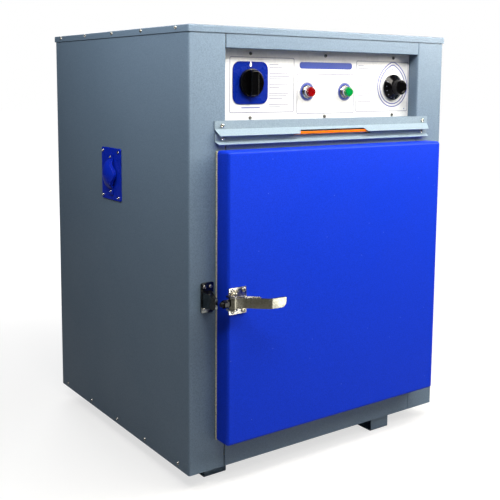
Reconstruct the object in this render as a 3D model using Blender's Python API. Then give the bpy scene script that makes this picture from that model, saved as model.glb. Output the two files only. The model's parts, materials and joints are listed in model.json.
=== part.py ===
# Bench hot air oven with a right-hinged door, built in metres with +Z up.
# The origin is on the floor under the middle of the part's box. The front faces -Y.

import math

import bmesh
import bpy
from mathutils import Matrix, Vector

# Chamber, which the door and the cabinet are built round
CHAMBER_SIDE = 0.355
LINER_SHEET = 0.001
LINER_FLANGE = 0.008
INSULATION_REAR = 0.082
WIRING_SPACE = 0.0375

# Cabinet
PANEL_SHEET = 0.0012
PANEL_BEND = 0.003
FIT_GAP = 0.0003
REAR_FLANGE = 0.018
COVER_OVERHANG = 0.0016
COVER_LIP = 0.0102
COVER_BEND = 0.0018
RETURN_WIDTH = 0.015
PAN_FLANGE = 0.016

# Front panels
BOTTOM_RAIL_HEIGHT = 0.062
FASCIA_HEIGHT = 0.1056
TOP_RAIL_HEIGHT = 0.0314
MOUTH_MARGIN = 0.0265
LEFT_MOUTH_MARGIN = 0.0253
RIGHT_MOUTH_MARGIN = 0.0152
FASCIA_RECESS = 0.021
FASCIA_MARGIN = 0.008
DIVIDER_DROP = 0.012

# Door
DOOR_OVERLAP = 0.0425
DOOR_LEFT_MARGIN = 0.046
DOOR_RIGHT_MARGIN = 0.034
DOOR_FRONT = 0.033
DOOR_EDGE_RADIUS = 0.0045
GASKET_DEPTH = 0.0037
GASKET_WIDTH = 0.014
GASKET_INSET = 0.001
GASKET_CHAMFER = 0.0009
DOOR_PLUG_GAP = 0.0125
DOOR_PLUG_RISE = 0.006
DOOR_PLUG_TAPER = 0.004

# Hinges
HINGE_AXIS_OFFSET = 0.006
HINGE_AXIS_FRONT = 0.007
KNUCKLE_RADIUS = 0.005
KNUCKLE_HEIGHT = 0.020
HINGE_PIN_RADIUS = 0.0025
HINGE_LEAF_SHEET = 0.002
FRAME_LEAF_REACH = 0.022
DOOR_LEAF_REACH = 0.026
HINGE_HEIGHT_SHARES = (0.19, 0.81)

# Latch, measured right from the door's left edge, out from its front and up from its middle
LATCH_RISE = 0.0018
LATCH_PLATE_INSET = 0.0003
LATCH_PLATE_WIDTH = 0.0313
LATCH_PLATE_HEIGHT = 0.0402
LATCH_PLATE_SHEET = 0.002
LATCH_PLATE_RADIUS = 0.002
LATCH_PIVOT_INSET = 0.0015
LATCH_PIVOT_OUT = 0.011
LATCH_BARREL_RADIUS = 0.0065
LATCH_PIN_RADIUS = 0.002
LATCH_PIN_HEAD = 0.0008
LATCH_EAR_SHEET = 0.003
LATCH_EAR_WIDTH = 0.0125
LEVER_HEIGHT = 0.0156
LEVER_SHEET = 0.003
LEVER_ROOT_DEPTH = 0.0105
LEVER_CRANK_INSET = 0.016
LEVER_CRANK_OUT = 0.0165
LEVER_BEND_INSET = 0.045
LEVER_BEND_OUT = 0.0415
LEVER_TIP_INSET = 0.0715
LEVER_TIP_OUT = 0.047
LEVER_TIP_RADIUS = 0.0085
BOLT_RADIUS = 0.0037
BOLT_OFFSET = 0.002
BOLT_LENGTH = 0.0138
BOLT_TIP_CHAMFER = 0.0012
NUT_RADIUS = 0.0065
NUT_LENGTH = 0.0085
NUT_SETBACK = 0.0011
KEEPER_GAP = 0.0046
KEEPER_WIDTH = 0.022
KEEPER_HEIGHT = 0.046
KEEPER_DROP = 0.002
KEEPER_SHEET = 0.0022
KEEPER_RADIUS = 0.003
NOSE_ROOT_WIDTH = 0.0175
NOSE_ROOT_HEIGHT = 0.026
NOSE_TIP_WIDTH = 0.0045
NOSE_TIP_HEIGHT = 0.0158
NOSE_TIP_GAP = 0.0196
NOSE_OUT = 0.0035
NOSE_RISE = 0.0035

# Drip rail and thermometer guard, stacked from the door's top edge up to the fascia
STRIP_LEFT_REACH = 0.003
STRIP_RIGHT_INSET = 0.002
STRIP_SHEET = 0.0012
STRIP_BEND = 0.0014
STRIP_END_CUT = 0.005
STRIP_SPACING = 0.0065
GUARD_HEIGHT = 0.0118
GUARD_LIP_OUT = 0.0092
GUARD_LIP_DROP = 0.0095
NOTCH_LEFT_REACH = 0.061
NOTCH_RIGHT_REACH = 0.071
NOTCH_DROP = 0.0043
NOTCH_END_SLOPE = 0.007
DRIP_RISE = 0.0125
DRIP_HEIGHT = 0.0115
DRIP_LIP_OUT = 0.007
DRIP_LIP_DROP = 0.004
THERMOMETER_RADIUS = 0.0025
THERMOMETER_FRONT = 0.005
THERMOMETER_DROP = 0.0092
THERMOMETER_LEFT_REACH = 0.074
THERMOMETER_RIGHT_REACH = 0.085
THERMOMETER_BACK = 0.110
THERMOMETER_DIP = 0.058
THERMOMETER_BEND = 0.008
PROBE_HOLE_RADIUS = 0.0045

# Controls, with heights from the foot of the fascia
SELECTOR_LEFT = 0.1208
SELECTOR_RISE = 0.0556
SELECTOR_PLATE_WIDTH = 0.0648
SELECTOR_PLATE_HEIGHT = 0.0640
SELECTOR_PLATE_SHEET = 0.001
SELECTOR_PLATE_RADIUS = 0.012
SELECTOR_DISC_RADIUS = 0.0215
SELECTOR_DISC_DEPTH = 0.0055
SELECTOR_DISC_CHAMFER = 0.0015
SELECTOR_GRIP_WIDTH = 0.016
SELECTOR_GRIP_LENGTH = 0.040
SELECTOR_GRIP_RADIUS = 0.006
SELECTOR_GRIP_DEPTH = 0.009
SHAFT_RADIUS = 0.003
SHAFT_HOLE_RADIUS = 0.0045
SHAFT_REACH = 0.009
SWITCH_FLANGE = 0.048
SWITCH_FLANGE_DEPTH = 0.006
SWITCH_BODY = 0.042
SWITCH_BODY_DEPTH = 0.038
DIAL_RIGHT = 0.101
DIAL_CLEARANCE = 0.001
DIAL_RISE = 0.050
DIAL_RADIUS = 0.0215
DIAL_SKIRT_DEPTH = 0.003
DIAL_CONE_DEPTH = 0.0065
DIAL_KNOB_RADIUS = 0.0124
DIAL_DEPTH = 0.0223
DIAL_CHAMFER = 0.001
THERMOSTAT_WIDTH = 0.045
THERMOSTAT_HEIGHT = 0.058
THERMOSTAT_DEPTH = 0.030
CAPILLARY_RADIUS = 0.0015
CAPILLARY_BEND = 0.010
CAPILLARY_BACK = 0.085
BULB_RADIUS = 0.0035
BULB_LENGTH = 0.060
BULB_DIP = 0.066
LAMP_RISE = 0.0425
RED_LAMP_LEFT_REACH = 0.0286
GREEN_LAMP_RIGHT_REACH = 0.0509
LAMP_HOLE_RADIUS = 0.006
LAMP_NECK_RADIUS = 0.0056
LAMP_NECK_LENGTH = 0.024
LAMP_FLANGE_RADIUS = 0.0105
LAMP_FLANGE_DEPTH = 0.0016
LAMP_COLLAR_RADIUS = 0.0084
LAMP_COLLAR_DEPTH = 0.0078
LAMP_BORE_RADIUS = 0.0045
LENS_RADIUS = 0.0078
LENS_DEPTH = 0.0052
LENS_CHAMFER = 0.0012
LENS_STEM_RADIUS = 0.004
LENS_STEM_LENGTH = 0.006

# Side handles, measured back from the front plane and down from the chamber's roof
HANDLE_BACK = 0.211
HANDLE_PLATE_WIDTH = 0.070
HANDLE_DROP = 0.0555
HANDLE_PLATE_HEIGHT = 0.087
HANDLE_PLATE_SHEET = 0.0015
HANDLE_PLATE_RADIUS = 0.003
GRIP_LENGTH = 0.070
GRIP_SHEET = 0.0016
GRIP_CROWN = 0.0112
GRIP_CURL = 0.0065
GRIP_FOOT_HALF_WIDTH = 0.0085
GRIP_MIDDLE_HALF_WIDTH = 0.021

# Shelves, runners and heaters inside the chamber
RUNNER_SHEET = 0.0015
RUNNER_LEDGE = 0.012
RUNNER_LEDGE_SHEET = 0.002
RUNNER_FRONT_GAP = 0.033
RUNNER_BACK_GAP = 0.012
RUNNER_FOOT = 0.046
RUNNER_TOP_GAP = 0.039
RUNNER_FIRST_LEDGE = 0.030
RUNNER_LAST_LEDGE = 0.040
SHELF_SIDE_GAP = 0.003
SHELF_FRONT_GAP = 0.033
SHELF_REAR_GAP = 0.004
SHELF_CORNER_RADIUS = 0.016
SHELF_ROD_RADIUS = 0.003
SHELF_WIRE_RADIUS = 0.0016
SHELF_BAR_RADIUS = 0.0022
SHELF_WIRE_LIFT = 0.0022
HEATER_RADIUS = 0.004
HEATER_HEIGHT = 0.013
HEATER_SIDE_GAP = 0.0445
HEATER_MIDDLE_GAP = 0.066
HEATER_FRONT_GAP = 0.060
HEATER_BEND = 0.022
HEATER_TAIL = 0.020
HEATER_HOLE_RADIUS = 0.0046
HEATER_POCKET_RADIUS = 0.0055
COVER_PLATE_HEIGHT = 0.026
COVER_PLATE_SHEET = 0.0012
COVER_PLATE_GAP = 0.002
COVER_PLATE_FRONT_GAP = 0.012
COVER_PLATE_HOLE_RADIUS = 0.008

# Feet, back panel and wiring
FOOT_HEIGHT = 0.025
FOOT_WIDTH = 0.040
FOOT_DEPTH = 0.040
FOOT_SHEET = 0.0025
FOOT_BEND = 0.003
LEFT_FOOT_SIDE = 0.0440
RIGHT_FOOT_SIDE = 0.1015
LEFT_FOOT_SETBACK = 0.027
RIGHT_FOOT_SETBACK = 0.008
LOUVRE_WIDTH = 0.070
LOUVRE_HEIGHT = 0.005
LOUVRE_PITCH = 0.013
LOUVRE_RISE = 0.037
LOUVRE_OFFSET = 0.075
GLAND_REACH = 0.014
GLAND_RIGHT = 0.100
GLAND_RISE = 0.057
GLAND_BORE_RADIUS = 0.0038
GLAND_NECK_RADIUS = 0.0065
GLAND_HOLE_RADIUS = 0.0069
GLAND_FLANGE_RADIUS = 0.0115
GLAND_FLANGE_DEPTH = 0.0045
GLAND_DOME_RADIUS = 0.009
GLAND_NECK_REACH = 0.009
TERMINAL_LENGTH = 0.060
TERMINAL_DEPTH = 0.022
TERMINAL_HEIGHT = 0.018
TERMINAL_SLOT = 0.0016
TERMINAL_SLOT_DEPTH = 0.006
TERMINAL_SETBACK = 0.340
CUT_SPARE = 0.002

# Counts, angles and shares
ROUND_STEPS = 24
SMALL_ROUND_STEPS = 16
ROD_SIDES = 8
BEND_STEPS = 3
CORNER_STEPS = 5
LEDGE_COUNT = 5
UPPER_LEDGE = 4
LOWER_LEDGE = 1
SHELF_WIRES = 11
LOUVRE_ROWS = 5
COVER_HOLE_COLUMNS = 5
COVER_HOLE_ROWS = 4
TERMINAL_WAYS = 4
NUT_SIDES = 6
GRIP_ACROSS = 6
GRIP_TAPER = 0.88
SHARP_DEGREES = 35
GRIP_LIFT_SHARES = (0, 0, 0.55, 0.8, 0.93, 1, 0.93, 0.8, 0.55, 0, 0)
GRIP_WIDTH_SHARES = (0, 0, 0.05, 0.45, 0.88, 1, 0.88, 0.45, 0.05, 0, 0)
GRIP_LENGTH_SHARES = (0, 0.15, 0.24, 0.33, 0.42, 0.5, 0.58, 0.67, 0.76, 0.85, 1)

# Overall sizes, from the chamber outwards
DOOR_SIDE = CHAMBER_SIDE + 2 * DOOR_OVERLAP
CABINET_WIDTH = DOOR_LEFT_MARGIN + DOOR_SIDE + DOOR_RIGHT_MARGIN
CABINET_DEPTH = PANEL_SHEET + FIT_GAP + CHAMBER_SIDE + INSULATION_REAR + WIRING_SPACE
LEFT_STILE_WIDTH = DOOR_LEFT_MARGIN + DOOR_OVERLAP - LEFT_MOUTH_MARGIN
RIGHT_STILE_WIDTH = DOOR_RIGHT_MARGIN + DOOR_OVERLAP - RIGHT_MOUTH_MARGIN
DOOR_PLUG_WIDTH = CHAMBER_SIDE - 2 * DOOR_PLUG_GAP
RUNNER_HEIGHT = CHAMBER_SIDE - RUNNER_FOOT - RUNNER_TOP_GAP
RUNNER_LENGTH = CHAMBER_SIDE - RUNNER_FRONT_GAP - RUNNER_BACK_GAP
RUNNER_LEDGE_PITCH = (RUNNER_HEIGHT - RUNNER_FIRST_LEDGE - RUNNER_LAST_LEDGE) / (LEDGE_COUNT - 1)
SHELF_DEPTH = CHAMBER_SIDE - SHELF_FRONT_GAP - SHELF_REAR_GAP
HEATER_SPREAD = CHAMBER_SIDE / 2 - HEATER_SIDE_GAP - HEATER_MIDDLE_GAP / 2
HEATER_OFFSET = (HEATER_SPREAD + HEATER_MIDDLE_GAP) / 2

# Planes that the parts above share
BASE_Z = FOOT_HEIGHT
BOTTOM_RAIL_TOP_Z = BASE_Z + BOTTOM_RAIL_HEIGHT
CHAMBER_FLOOR_Z = BOTTOM_RAIL_TOP_Z + MOUTH_MARGIN
CHAMBER_ROOF_Z = CHAMBER_FLOOR_Z + CHAMBER_SIDE
MID_RAIL_FOOT_Z = CHAMBER_ROOF_Z + MOUTH_MARGIN
DOOR_FOOT_Z = CHAMBER_FLOOR_Z - DOOR_OVERLAP
DOOR_TOP_Z = DOOR_FOOT_Z + DOOR_SIDE
DRIP_BEND_Z = DOOR_TOP_Z + DRIP_RISE
DRIP_TOP_Z = DRIP_BEND_Z + DRIP_HEIGHT
GUARD_BEND_Z = DRIP_TOP_Z + STRIP_SPACING
GUARD_TOP_Z = GUARD_BEND_Z + GUARD_HEIGHT
FASCIA_FOOT_Z = GUARD_TOP_Z - FIT_GAP
FASCIA_TOP_Z = FASCIA_FOOT_Z + FASCIA_HEIGHT
DIVIDER_Z = FASCIA_FOOT_Z - DIVIDER_DROP
TOP_Z = FASCIA_TOP_Z + TOP_RAIL_HEIGHT
LEFT_X = -CABINET_WIDTH / 2
RIGHT_X = CABINET_WIDTH / 2
LEVER_FRONT = DOOR_FRONT + LEVER_TIP_OUT
FRONT_Y = (LEVER_FRONT - CABINET_DEPTH - GLAND_REACH) / 2
BACK_Y = FRONT_Y + CABINET_DEPTH
PANEL_TOP_Z = TOP_Z - PANEL_SHEET - FIT_GAP
INNER_LEFT_X = LEFT_X + PANEL_SHEET + FIT_GAP
INNER_RIGHT_X = RIGHT_X - PANEL_SHEET - FIT_GAP
STILE_LEFT_X = LEFT_X + LEFT_STILE_WIDTH
STILE_RIGHT_X = RIGHT_X - RIGHT_STILE_WIDTH
FASCIA_Y = FRONT_Y + FASCIA_RECESS
PANEL_BACK_Y = BACK_Y - PANEL_SHEET - FIT_GAP
DOOR_LEFT_X = LEFT_X + DOOR_LEFT_MARGIN
DOOR_RIGHT_X = DOOR_LEFT_X + DOOR_SIDE
DOOR_MIDDLE_X = (DOOR_LEFT_X + DOOR_RIGHT_X) / 2
DOOR_MIDDLE_Z = (DOOR_FOOT_Z + DOOR_TOP_Z) / 2
DOOR_FRONT_Y = FRONT_Y - DOOR_FRONT
DOOR_BACK_Y = FRONT_Y - GASKET_DEPTH - FIT_GAP - FIT_GAP
LINER_FRONT_Y = FRONT_Y + PANEL_SHEET + FIT_GAP
CHAMBER_BACK_Y = LINER_FRONT_Y + CHAMBER_SIDE
CHAMBER_LEFT_X = DOOR_MIDDLE_X - CHAMBER_SIDE / 2
CHAMBER_RIGHT_X = DOOR_MIDDLE_X + CHAMBER_SIDE / 2
HINGE_AXIS = Vector((DOOR_RIGHT_X + HINGE_AXIS_OFFSET, FRONT_Y - HINGE_AXIS_FRONT, DOOR_MIDDLE_Z))
LATCH_Z = DOOR_MIDDLE_Z + LATCH_RISE
LATCH_AXIS = Vector((DOOR_LEFT_X + LATCH_PIVOT_INSET, DOOR_FRONT_Y - LATCH_PIVOT_OUT, LATCH_Z))
SELECTOR_AXIS = Vector((LEFT_X + SELECTOR_LEFT, FASCIA_Y, FASCIA_FOOT_Z + SELECTOR_RISE))
DIAL_AXIS = Vector((RIGHT_X - DIAL_RIGHT, FASCIA_Y, FASCIA_FOOT_Z + DIAL_RISE))
LAMP_Z = FASCIA_FOOT_Z + LAMP_RISE
RED_LAMP_X = -RED_LAMP_LEFT_REACH
GREEN_LAMP_X = GREEN_LAMP_RIGHT_REACH
GLAND_X = RIGHT_X - GLAND_RIGHT
GLAND_Z = FASCIA_FOOT_Z + GLAND_RISE
STRIP_LEFT_X = DOOR_LEFT_X - STRIP_LEFT_REACH
STRIP_RIGHT_X = DOOR_RIGHT_X - STRIP_RIGHT_INSET
PROBE_X = THERMOMETER_RIGHT_REACH
PROBE_Y = FRONT_Y + THERMOMETER_BACK
PROBE_Z = GUARD_BEND_Z - THERMOMETER_DROP
CAPILLARY_Y = FRONT_Y + CAPILLARY_BACK
HANDLE_MIDDLE_Y = FRONT_Y + HANDLE_BACK + HANDLE_PLATE_WIDTH / 2
HANDLE_FOOT_Z = CHAMBER_ROOF_Z - HANDLE_DROP


# Materials

def surface(name, colour, roughness, metallic=0.0):
    material = bpy.data.materials.new(name)
    material.use_nodes = True
    shader = material.node_tree.nodes["Principled BSDF"]
    shader.inputs["Base Color"].default_value = (*colour, 1.0)
    shader.inputs["Roughness"].default_value = roughness
    shader.inputs["Metallic"].default_value = metallic
    material.diffuse_color = (*colour, 1.0)
    return material


def cabinet_paint():
    return surface("Blue-grey textured paint", (0.13, 0.18, 0.22), 0.55)


def door_paint():
    return surface("Royal blue textured paint", (0.012, 0.045, 0.62), 0.42)


def fascia_paint():
    return surface("Cream white panel", (0.86, 0.86, 0.80), 0.35)


def plate_blue():
    return surface("Blue escutcheon", (0.01, 0.05, 0.55), 0.30)


def black_plastic():
    return surface("Black knob plastic", (0.008, 0.008, 0.009), 0.22)


def nickel():
    return surface("Bright nickel", (0.72, 0.70, 0.64), 0.18, 1.0)


def dark_nickel():
    return surface("Dull nickel", (0.30, 0.31, 0.32), 0.35, 1.0)


def steel():
    return surface("Zinc-plated steel", (0.50, 0.51, 0.52), 0.38, 1.0)


def stainless():
    return surface("Stainless sheet", (0.62, 0.62, 0.61), 0.30, 1.0)


def insulation():
    return surface("Glass wool", (0.75, 0.68, 0.42), 0.95)


def gasket_rubber():
    return surface("Khaki gasket", (0.40, 0.37, 0.21), 0.80)


def heater_metal():
    return surface("Heater sheath", (0.16, 0.14, 0.13), 0.50, 1.0)


def orange_glass():
    return surface("Orange-backed glass", (0.86, 0.24, 0.01), 0.15)


def red_lens():
    return surface("Red lens", (0.72, 0.01, 0.02), 0.12)


def green_lens():
    return surface("Green lens", (0.0, 0.62, 0.12), 0.12)


def brown_phenolic():
    return surface("Moulded phenolic", (0.06, 0.045, 0.035), 0.50)


# Shapes

# Each outline is a list of pairs: (y, z) along X, (x, z) along Y and (x, y) along Z.
def placed(pair, along, at):
    first, second = pair
    if along == "x":
        return Vector((at, first, second))
    if along == "y":
        return Vector((first, at, second))
    return Vector((first, second, at))


def finished(name, shape, material, smooth=False):
    bmesh.ops.recalc_face_normals(shape, faces=shape.faces)
    low = Vector([min(vertex.co[axis] for vertex in shape.verts) for axis in range(3)])
    high = Vector([max(vertex.co[axis] for vertex in shape.verts) for axis in range(3)])
    middle = (low + high) / 2
    bmesh.ops.translate(shape, verts=shape.verts, vec=-middle)
    mesh = bpy.data.meshes.new(name)
    shape.to_mesh(mesh)
    shape.free()
    mesh.materials.append(material)
    if smooth:
        mesh.shade_smooth()
        mesh.set_sharp_from_angle(angle=math.radians(SHARP_DEGREES))
    piece = bpy.data.objects.new(name, mesh)
    piece.location = middle
    bpy.context.scene.collection.objects.link(piece)
    return piece


# A solid with a flat outline, straight along one axis. A taper below 1 shrinks its far end.
def prism(name, outline, along, start, end, material, taper=1.0, smooth=False):
    shape = bmesh.new()
    middle = Vector((sum(p[0] for p in outline), sum(p[1] for p in outline))) / len(outline)
    near = [shape.verts.new(placed(pair, along, start)) for pair in outline]
    far = []
    for pair in outline:
        moved = middle + (Vector(pair) - middle) * taper
        far.append(shape.verts.new(placed(moved, along, end)))
    shape.faces.new(near)
    shape.faces.new(far)
    count = len(outline)
    for index in range(count):
        after = (index + 1) % count
        shape.faces.new((near[index], near[after], far[after], far[index]))
    return finished(name, shape, material, smooth)


def box(name, x, y, z, material):
    outline = [(x[0], y[0]), (x[1], y[0]), (x[1], y[1]), (x[0], y[1])]
    return prism(name, outline, "z", z[0], z[1], material)


# Points of an arc that rounds the corner of a path.
def corner_arc(before, corner, after, radius, steps):
    into = (corner - before).normalized()
    out = (after - corner).normalized()
    turn = into.angle(out, 0)
    if radius <= 0 or turn < math.radians(1):
        return [corner]
    reach = radius * math.tan(turn / 2)
    start = corner - into * reach
    side = (out - into * into.dot(out)).normalized()
    centre = start + side * radius
    points = []
    for step in range(steps + 1):
        angle = turn * step / steps
        points.append(centre - side * radius * math.cos(angle) + into * radius * math.sin(angle))
    return points


def rounded_path(corners, radius, steps, closed=False):
    corners = [Vector(corner) for corner in corners]
    count = len(corners)
    points = []
    for index, corner in enumerate(corners):
        if not closed and index in (0, count - 1):
            points.append(corner)
            continue
        before = corners[index - 1]
        after = corners[(index + 1) % count]
        points += corner_arc(before, corner, after, radius, steps)
    return points


def rounded_rectangle(centre, width, height, radius, steps=CORNER_STEPS):
    half = Vector((width / 2, height / 2))
    middle = Vector(centre)
    signs = ((-1, -1), (1, -1), (1, 1), (-1, 1))
    corners = [middle + Vector((half.x * sign[0], half.y * sign[1])) for sign in signs]
    return [tuple(point) for point in rounded_path(corners, radius, steps, closed=True)]


def circle(centre, radius, steps, first=0.0):
    points = []
    for step in range(steps):
        angle = first + 2 * math.pi * step / steps
        points.append((centre[0] + radius * math.cos(angle), centre[1] + radius * math.sin(angle)))
    return points


# The outline of a folded sheet: its outer line, and the same line moved in by the sheet on its right.
def folded(path, sheet, bend):
    path = [Vector(point) for point in path]
    directions = [(path[i + 1] - path[i]).normalized() for i in range(len(path) - 1)]
    rights = [Vector((way.y, -way.x)) for way in directions]
    inner = [path[0] + rights[0] * sheet]
    for index in range(1, len(path) - 1):
        both = rights[index - 1] + rights[index]
        inner.append(path[index] + both * sheet / both.dot(rights[index]))
    inner.append(path[-1] + rights[-1] * sheet)
    outer_line = [path[0]]
    inner_line = [inner[0]]
    for index in range(1, len(path) - 1):
        turns_right = directions[index].dot(rights[index - 1]) > 0
        outer_radius = bend if turns_right else bend - sheet
        inner_radius = bend - sheet if turns_right else bend
        outer_line += corner_arc(path[index - 1], path[index], path[index + 1], outer_radius, BEND_STEPS)
        inner_line += corner_arc(inner[index - 1], inner[index], inner[index + 1], inner_radius, BEND_STEPS)
    outer_line.append(path[-1])
    inner_line.append(inner[-1])
    return [tuple(point) for point in outer_line + inner_line[::-1]]


# A round solid: pairs of radius and distance along the axis, turned about the axis.
def turned(name, profile, centre, along, material, steps=ROUND_STEPS, hollow=False):
    shape = bmesh.new()
    rings = []
    for radius, distance in profile:
        if radius == 0:
            rings.append([shape.verts.new(Vector((0, 0, distance)))])
            continue
        ring = circle((0, 0), radius, steps)
        rings.append([shape.verts.new(Vector((x, y, distance))) for x, y in ring])
    pairs = list(zip(rings, rings[1:]))
    if hollow:
        pairs.append((rings[-1], rings[0]))
    for first, second in pairs:
        for index in range(steps):
            after = (index + 1) % steps
            corners = [first[index % len(first)], first[after % len(first)]]
            corners += [second[after % len(second)], second[index % len(second)]]
            if first[0].co.xy.length or second[0].co.xy.length:
                shape.faces.new(list(dict.fromkeys(corners)))
    ways = {"x": Vector((1, 0, 0)), "y": Vector((0, 1, 0)), "z": Vector((0, 0, 1))}
    aim = Vector((0, 0, 1)).rotation_difference(ways[along]).to_matrix().to_4x4()
    bmesh.ops.transform(shape, matrix=Matrix.Translation(centre) @ aim, verts=shape.verts)
    return finished(name, shape, material, smooth=True)


# A round rod that follows a path.
def rod(name, path, radius, material, sides=ROD_SIDES, closed=False):
    shape = bmesh.new()
    path = [Vector(point) for point in path]
    count = len(path)
    ways = []
    for index in range(count):
        before = path[index - 1] if closed or index else path[0]
        after = path[(index + 1) % count] if closed or index < count - 1 else path[-1]
        into = (path[index] - before).normalized()
        out = (after - path[index]).normalized()
        ways.append((into + out).normalized())
    start = ways[0].orthogonal().normalized()
    rings = []
    for point, way in zip(path, ways):
        start = (start - way * start.dot(way)).normalized()
        side = way.cross(start)
        ring = []
        for step in range(sides):
            angle = 2 * math.pi * (step + 0.5) / sides
            offset = start * math.cos(angle) + side * math.sin(angle)
            ring.append(shape.verts.new(point + offset * radius))
        rings.append(ring)
    pairs = list(zip(rings, rings[1:]))
    if closed:
        pairs.append((rings[-1], rings[0]))
    else:
        shape.faces.new(rings[0])
        shape.faces.new(rings[-1])
    for first, second in pairs:
        for index in range(sides):
            after = (index + 1) % sides
            shape.faces.new((first[index], first[after], second[after], second[index]))
    return finished(name, shape, material, smooth=True)


# Several separate closed shapes in one object, to cut or join in one step.
def gathered(name, pieces, material):
    shape = bmesh.new()
    for piece in pieces:
        mesh = piece.data
        mesh.transform(Matrix.Translation(piece.location))
        shape.from_mesh(mesh)
        bpy.data.objects.remove(piece)
        bpy.data.meshes.remove(mesh)
    return finished(name, shape, material)


def changed(piece, tool, operation):
    tool.hide_render = True
    tool.display_type = "WIRE"
    step = piece.modifiers.new(operation.title() + " " + tool.name, "BOOLEAN")
    step.operation = operation
    step.solver = "EXACT"
    step.object = tool
    return piece


def cut(piece, tool):
    return changed(piece, tool, "DIFFERENCE")


def joined(piece, tool):
    return changed(piece, tool, "UNION")


def kept_inside(piece, tool):
    return changed(piece, tool, "INTERSECT")


def drilled(piece, name, centre, along, radius, start, end, steps=SMALL_ROUND_STEPS):
    outline = circle(centre, radius, steps, math.pi / steps)
    return cut(piece, prism(name, outline, along, start, end, steel()))


# Moving pieces

# Sets the origin of each piece on its joint axis.
def turns_about(axis, pieces):
    for piece in pieces:
        shift = piece.location - axis
        piece.data.transform(Matrix.Translation(shift))
        piece.location = axis


def carried_by(name, axis, pieces):
    carrier = bpy.data.objects.new(name, None)
    carrier.empty_display_size = KNUCKLE_RADIUS
    carrier.location = axis
    bpy.context.scene.collection.objects.link(carrier)
    for piece in pieces:
        piece.parent = carrier
        piece.matrix_parent_inverse = Matrix.Translation(axis).inverted()
    return carrier


# Cabinet sheets

def side_panel(name, mirror, stile_width):
    inner_x = LEFT_X + stile_width
    path = [
        (inner_x, FASCIA_Y - FIT_GAP),
        (inner_x, FRONT_Y),
        (LEFT_X, FRONT_Y),
        (LEFT_X, BACK_Y),
        (LEFT_X + REAR_FLANGE, BACK_Y),
    ]
    outline = folded(path, PANEL_SHEET, PANEL_BEND)
    if mirror:
        outline = [(-x, y) for x, y in outline]
    return prism(name, outline, "z", BASE_Z, PANEL_TOP_Z, cabinet_paint(), smooth=True)


def top_cover():
    left = LEFT_X - COVER_OVERHANG
    right = RIGHT_X + COVER_OVERHANG
    front = FRONT_Y - COVER_OVERHANG
    back = BACK_Y + COVER_OVERHANG
    foot = TOP_Z - COVER_LIP
    cover = box("top_cover", (left, right), (front, back), (foot, TOP_Z), cabinet_paint())
    rounding = cover.modifiers.new("Rounded folds", "BEVEL")
    rounding.width = COVER_BEND
    rounding.segments = BEND_STEPS
    rounding.limit_method = "WEIGHT"
    mark_edges(cover, lambda low, high: high.z > 0 or abs((high - low).z) > 0)
    inside = box(
        "cut_cover_inside",
        (left + PANEL_SHEET, right - PANEL_SHEET),
        (front + PANEL_SHEET, back - PANEL_SHEET),
        (foot - CUT_SPARE, TOP_Z - PANEL_SHEET),
        steel(),
    )
    return cut(cover, inside)


# Gives the edges that a test picks the full bevel weight.
def mark_edges(piece, test):
    mesh = piece.data
    weights = mesh.attributes.new("bevel_weight_edge", "FLOAT", "EDGE")
    for edge in mesh.edges:
        ends = [mesh.vertices[index].co for index in edge.vertices]
        if test(*sorted(ends, key=lambda point: point.z)):
            weights.data[edge.index].value = 1.0


def back_panel():
    panel = box(
        "back_panel",
        (INNER_LEFT_X + PANEL_BEND, INNER_RIGHT_X - PANEL_BEND),
        (PANEL_BACK_Y - PANEL_SHEET, PANEL_BACK_Y),
        (BASE_Z, PANEL_TOP_Z),
        cabinet_paint(),
    )
    slots = []
    for side in (-1, 1):
        for row in range(LOUVRE_ROWS):
            centre = (side * LOUVRE_OFFSET, FASCIA_FOOT_Z + LOUVRE_RISE + row * LOUVRE_PITCH)
            outline = rounded_rectangle(centre, LOUVRE_WIDTH, LOUVRE_HEIGHT, LOUVRE_HEIGHT / 2)
            start = PANEL_BACK_Y - PANEL_SHEET - CUT_SPARE
            slots.append(prism("slot", outline, "y", start, PANEL_BACK_Y + CUT_SPARE, steel()))
    cut(panel, gathered("cut_louvres", slots, steel()))
    start = PANEL_BACK_Y - PANEL_SHEET - CUT_SPARE
    end = PANEL_BACK_Y + CUT_SPARE
    return drilled(panel, "cut_gland_hole", (GLAND_X, GLAND_Z), "y", GLAND_HOLE_RADIUS, start, end)


def base_pan():
    front = FRONT_Y + PANEL_SHEET + FIT_GAP
    back = PANEL_BACK_Y - PANEL_SHEET - FIT_GAP
    width = INNER_RIGHT_X - INNER_LEFT_X
    middle = ((INNER_LEFT_X + INNER_RIGHT_X) / 2, (front + back) / 2)
    outline = rounded_rectangle(middle, width, back - front, PANEL_BEND, BEND_STEPS)
    pan = prism("base_pan", outline, "z", BASE_Z, BASE_Z + PAN_FLANGE, cabinet_paint())
    walls = 2 * PANEL_SHEET
    inner_bend = PANEL_BEND - PANEL_SHEET
    hollow = rounded_rectangle(middle, width - walls, back - front - walls, inner_bend, BEND_STEPS)
    floor = BASE_Z + PANEL_SHEET
    inside = prism("cut_pan_inside", hollow, "z", floor, BASE_Z + PAN_FLANGE + CUT_SPARE, steel())
    cut(pan, inside)
    reliefs = []
    for edge, way in ((STILE_LEFT_X, 1), (STILE_RIGHT_X, -1)):
        sides = sorted((edge - way * (PANEL_BEND + FIT_GAP), edge + way * FIT_GAP))
        heights = (BASE_Z - CUT_SPARE, BASE_Z + PAN_FLANGE + CUT_SPARE)
        reliefs.append(box("relief", sides, (front - CUT_SPARE, FASCIA_Y), heights, steel()))
    return cut(pan, gathered("cut_pan_reliefs", reliefs, steel()))


def front_panel(name, path):
    outline = folded(path, PANEL_SHEET, PANEL_SHEET)
    left = STILE_LEFT_X + FIT_GAP
    right = STILE_RIGHT_X - FIT_GAP
    return prism(name, outline, "x", left, right, cabinet_paint(), smooth=True)


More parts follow.
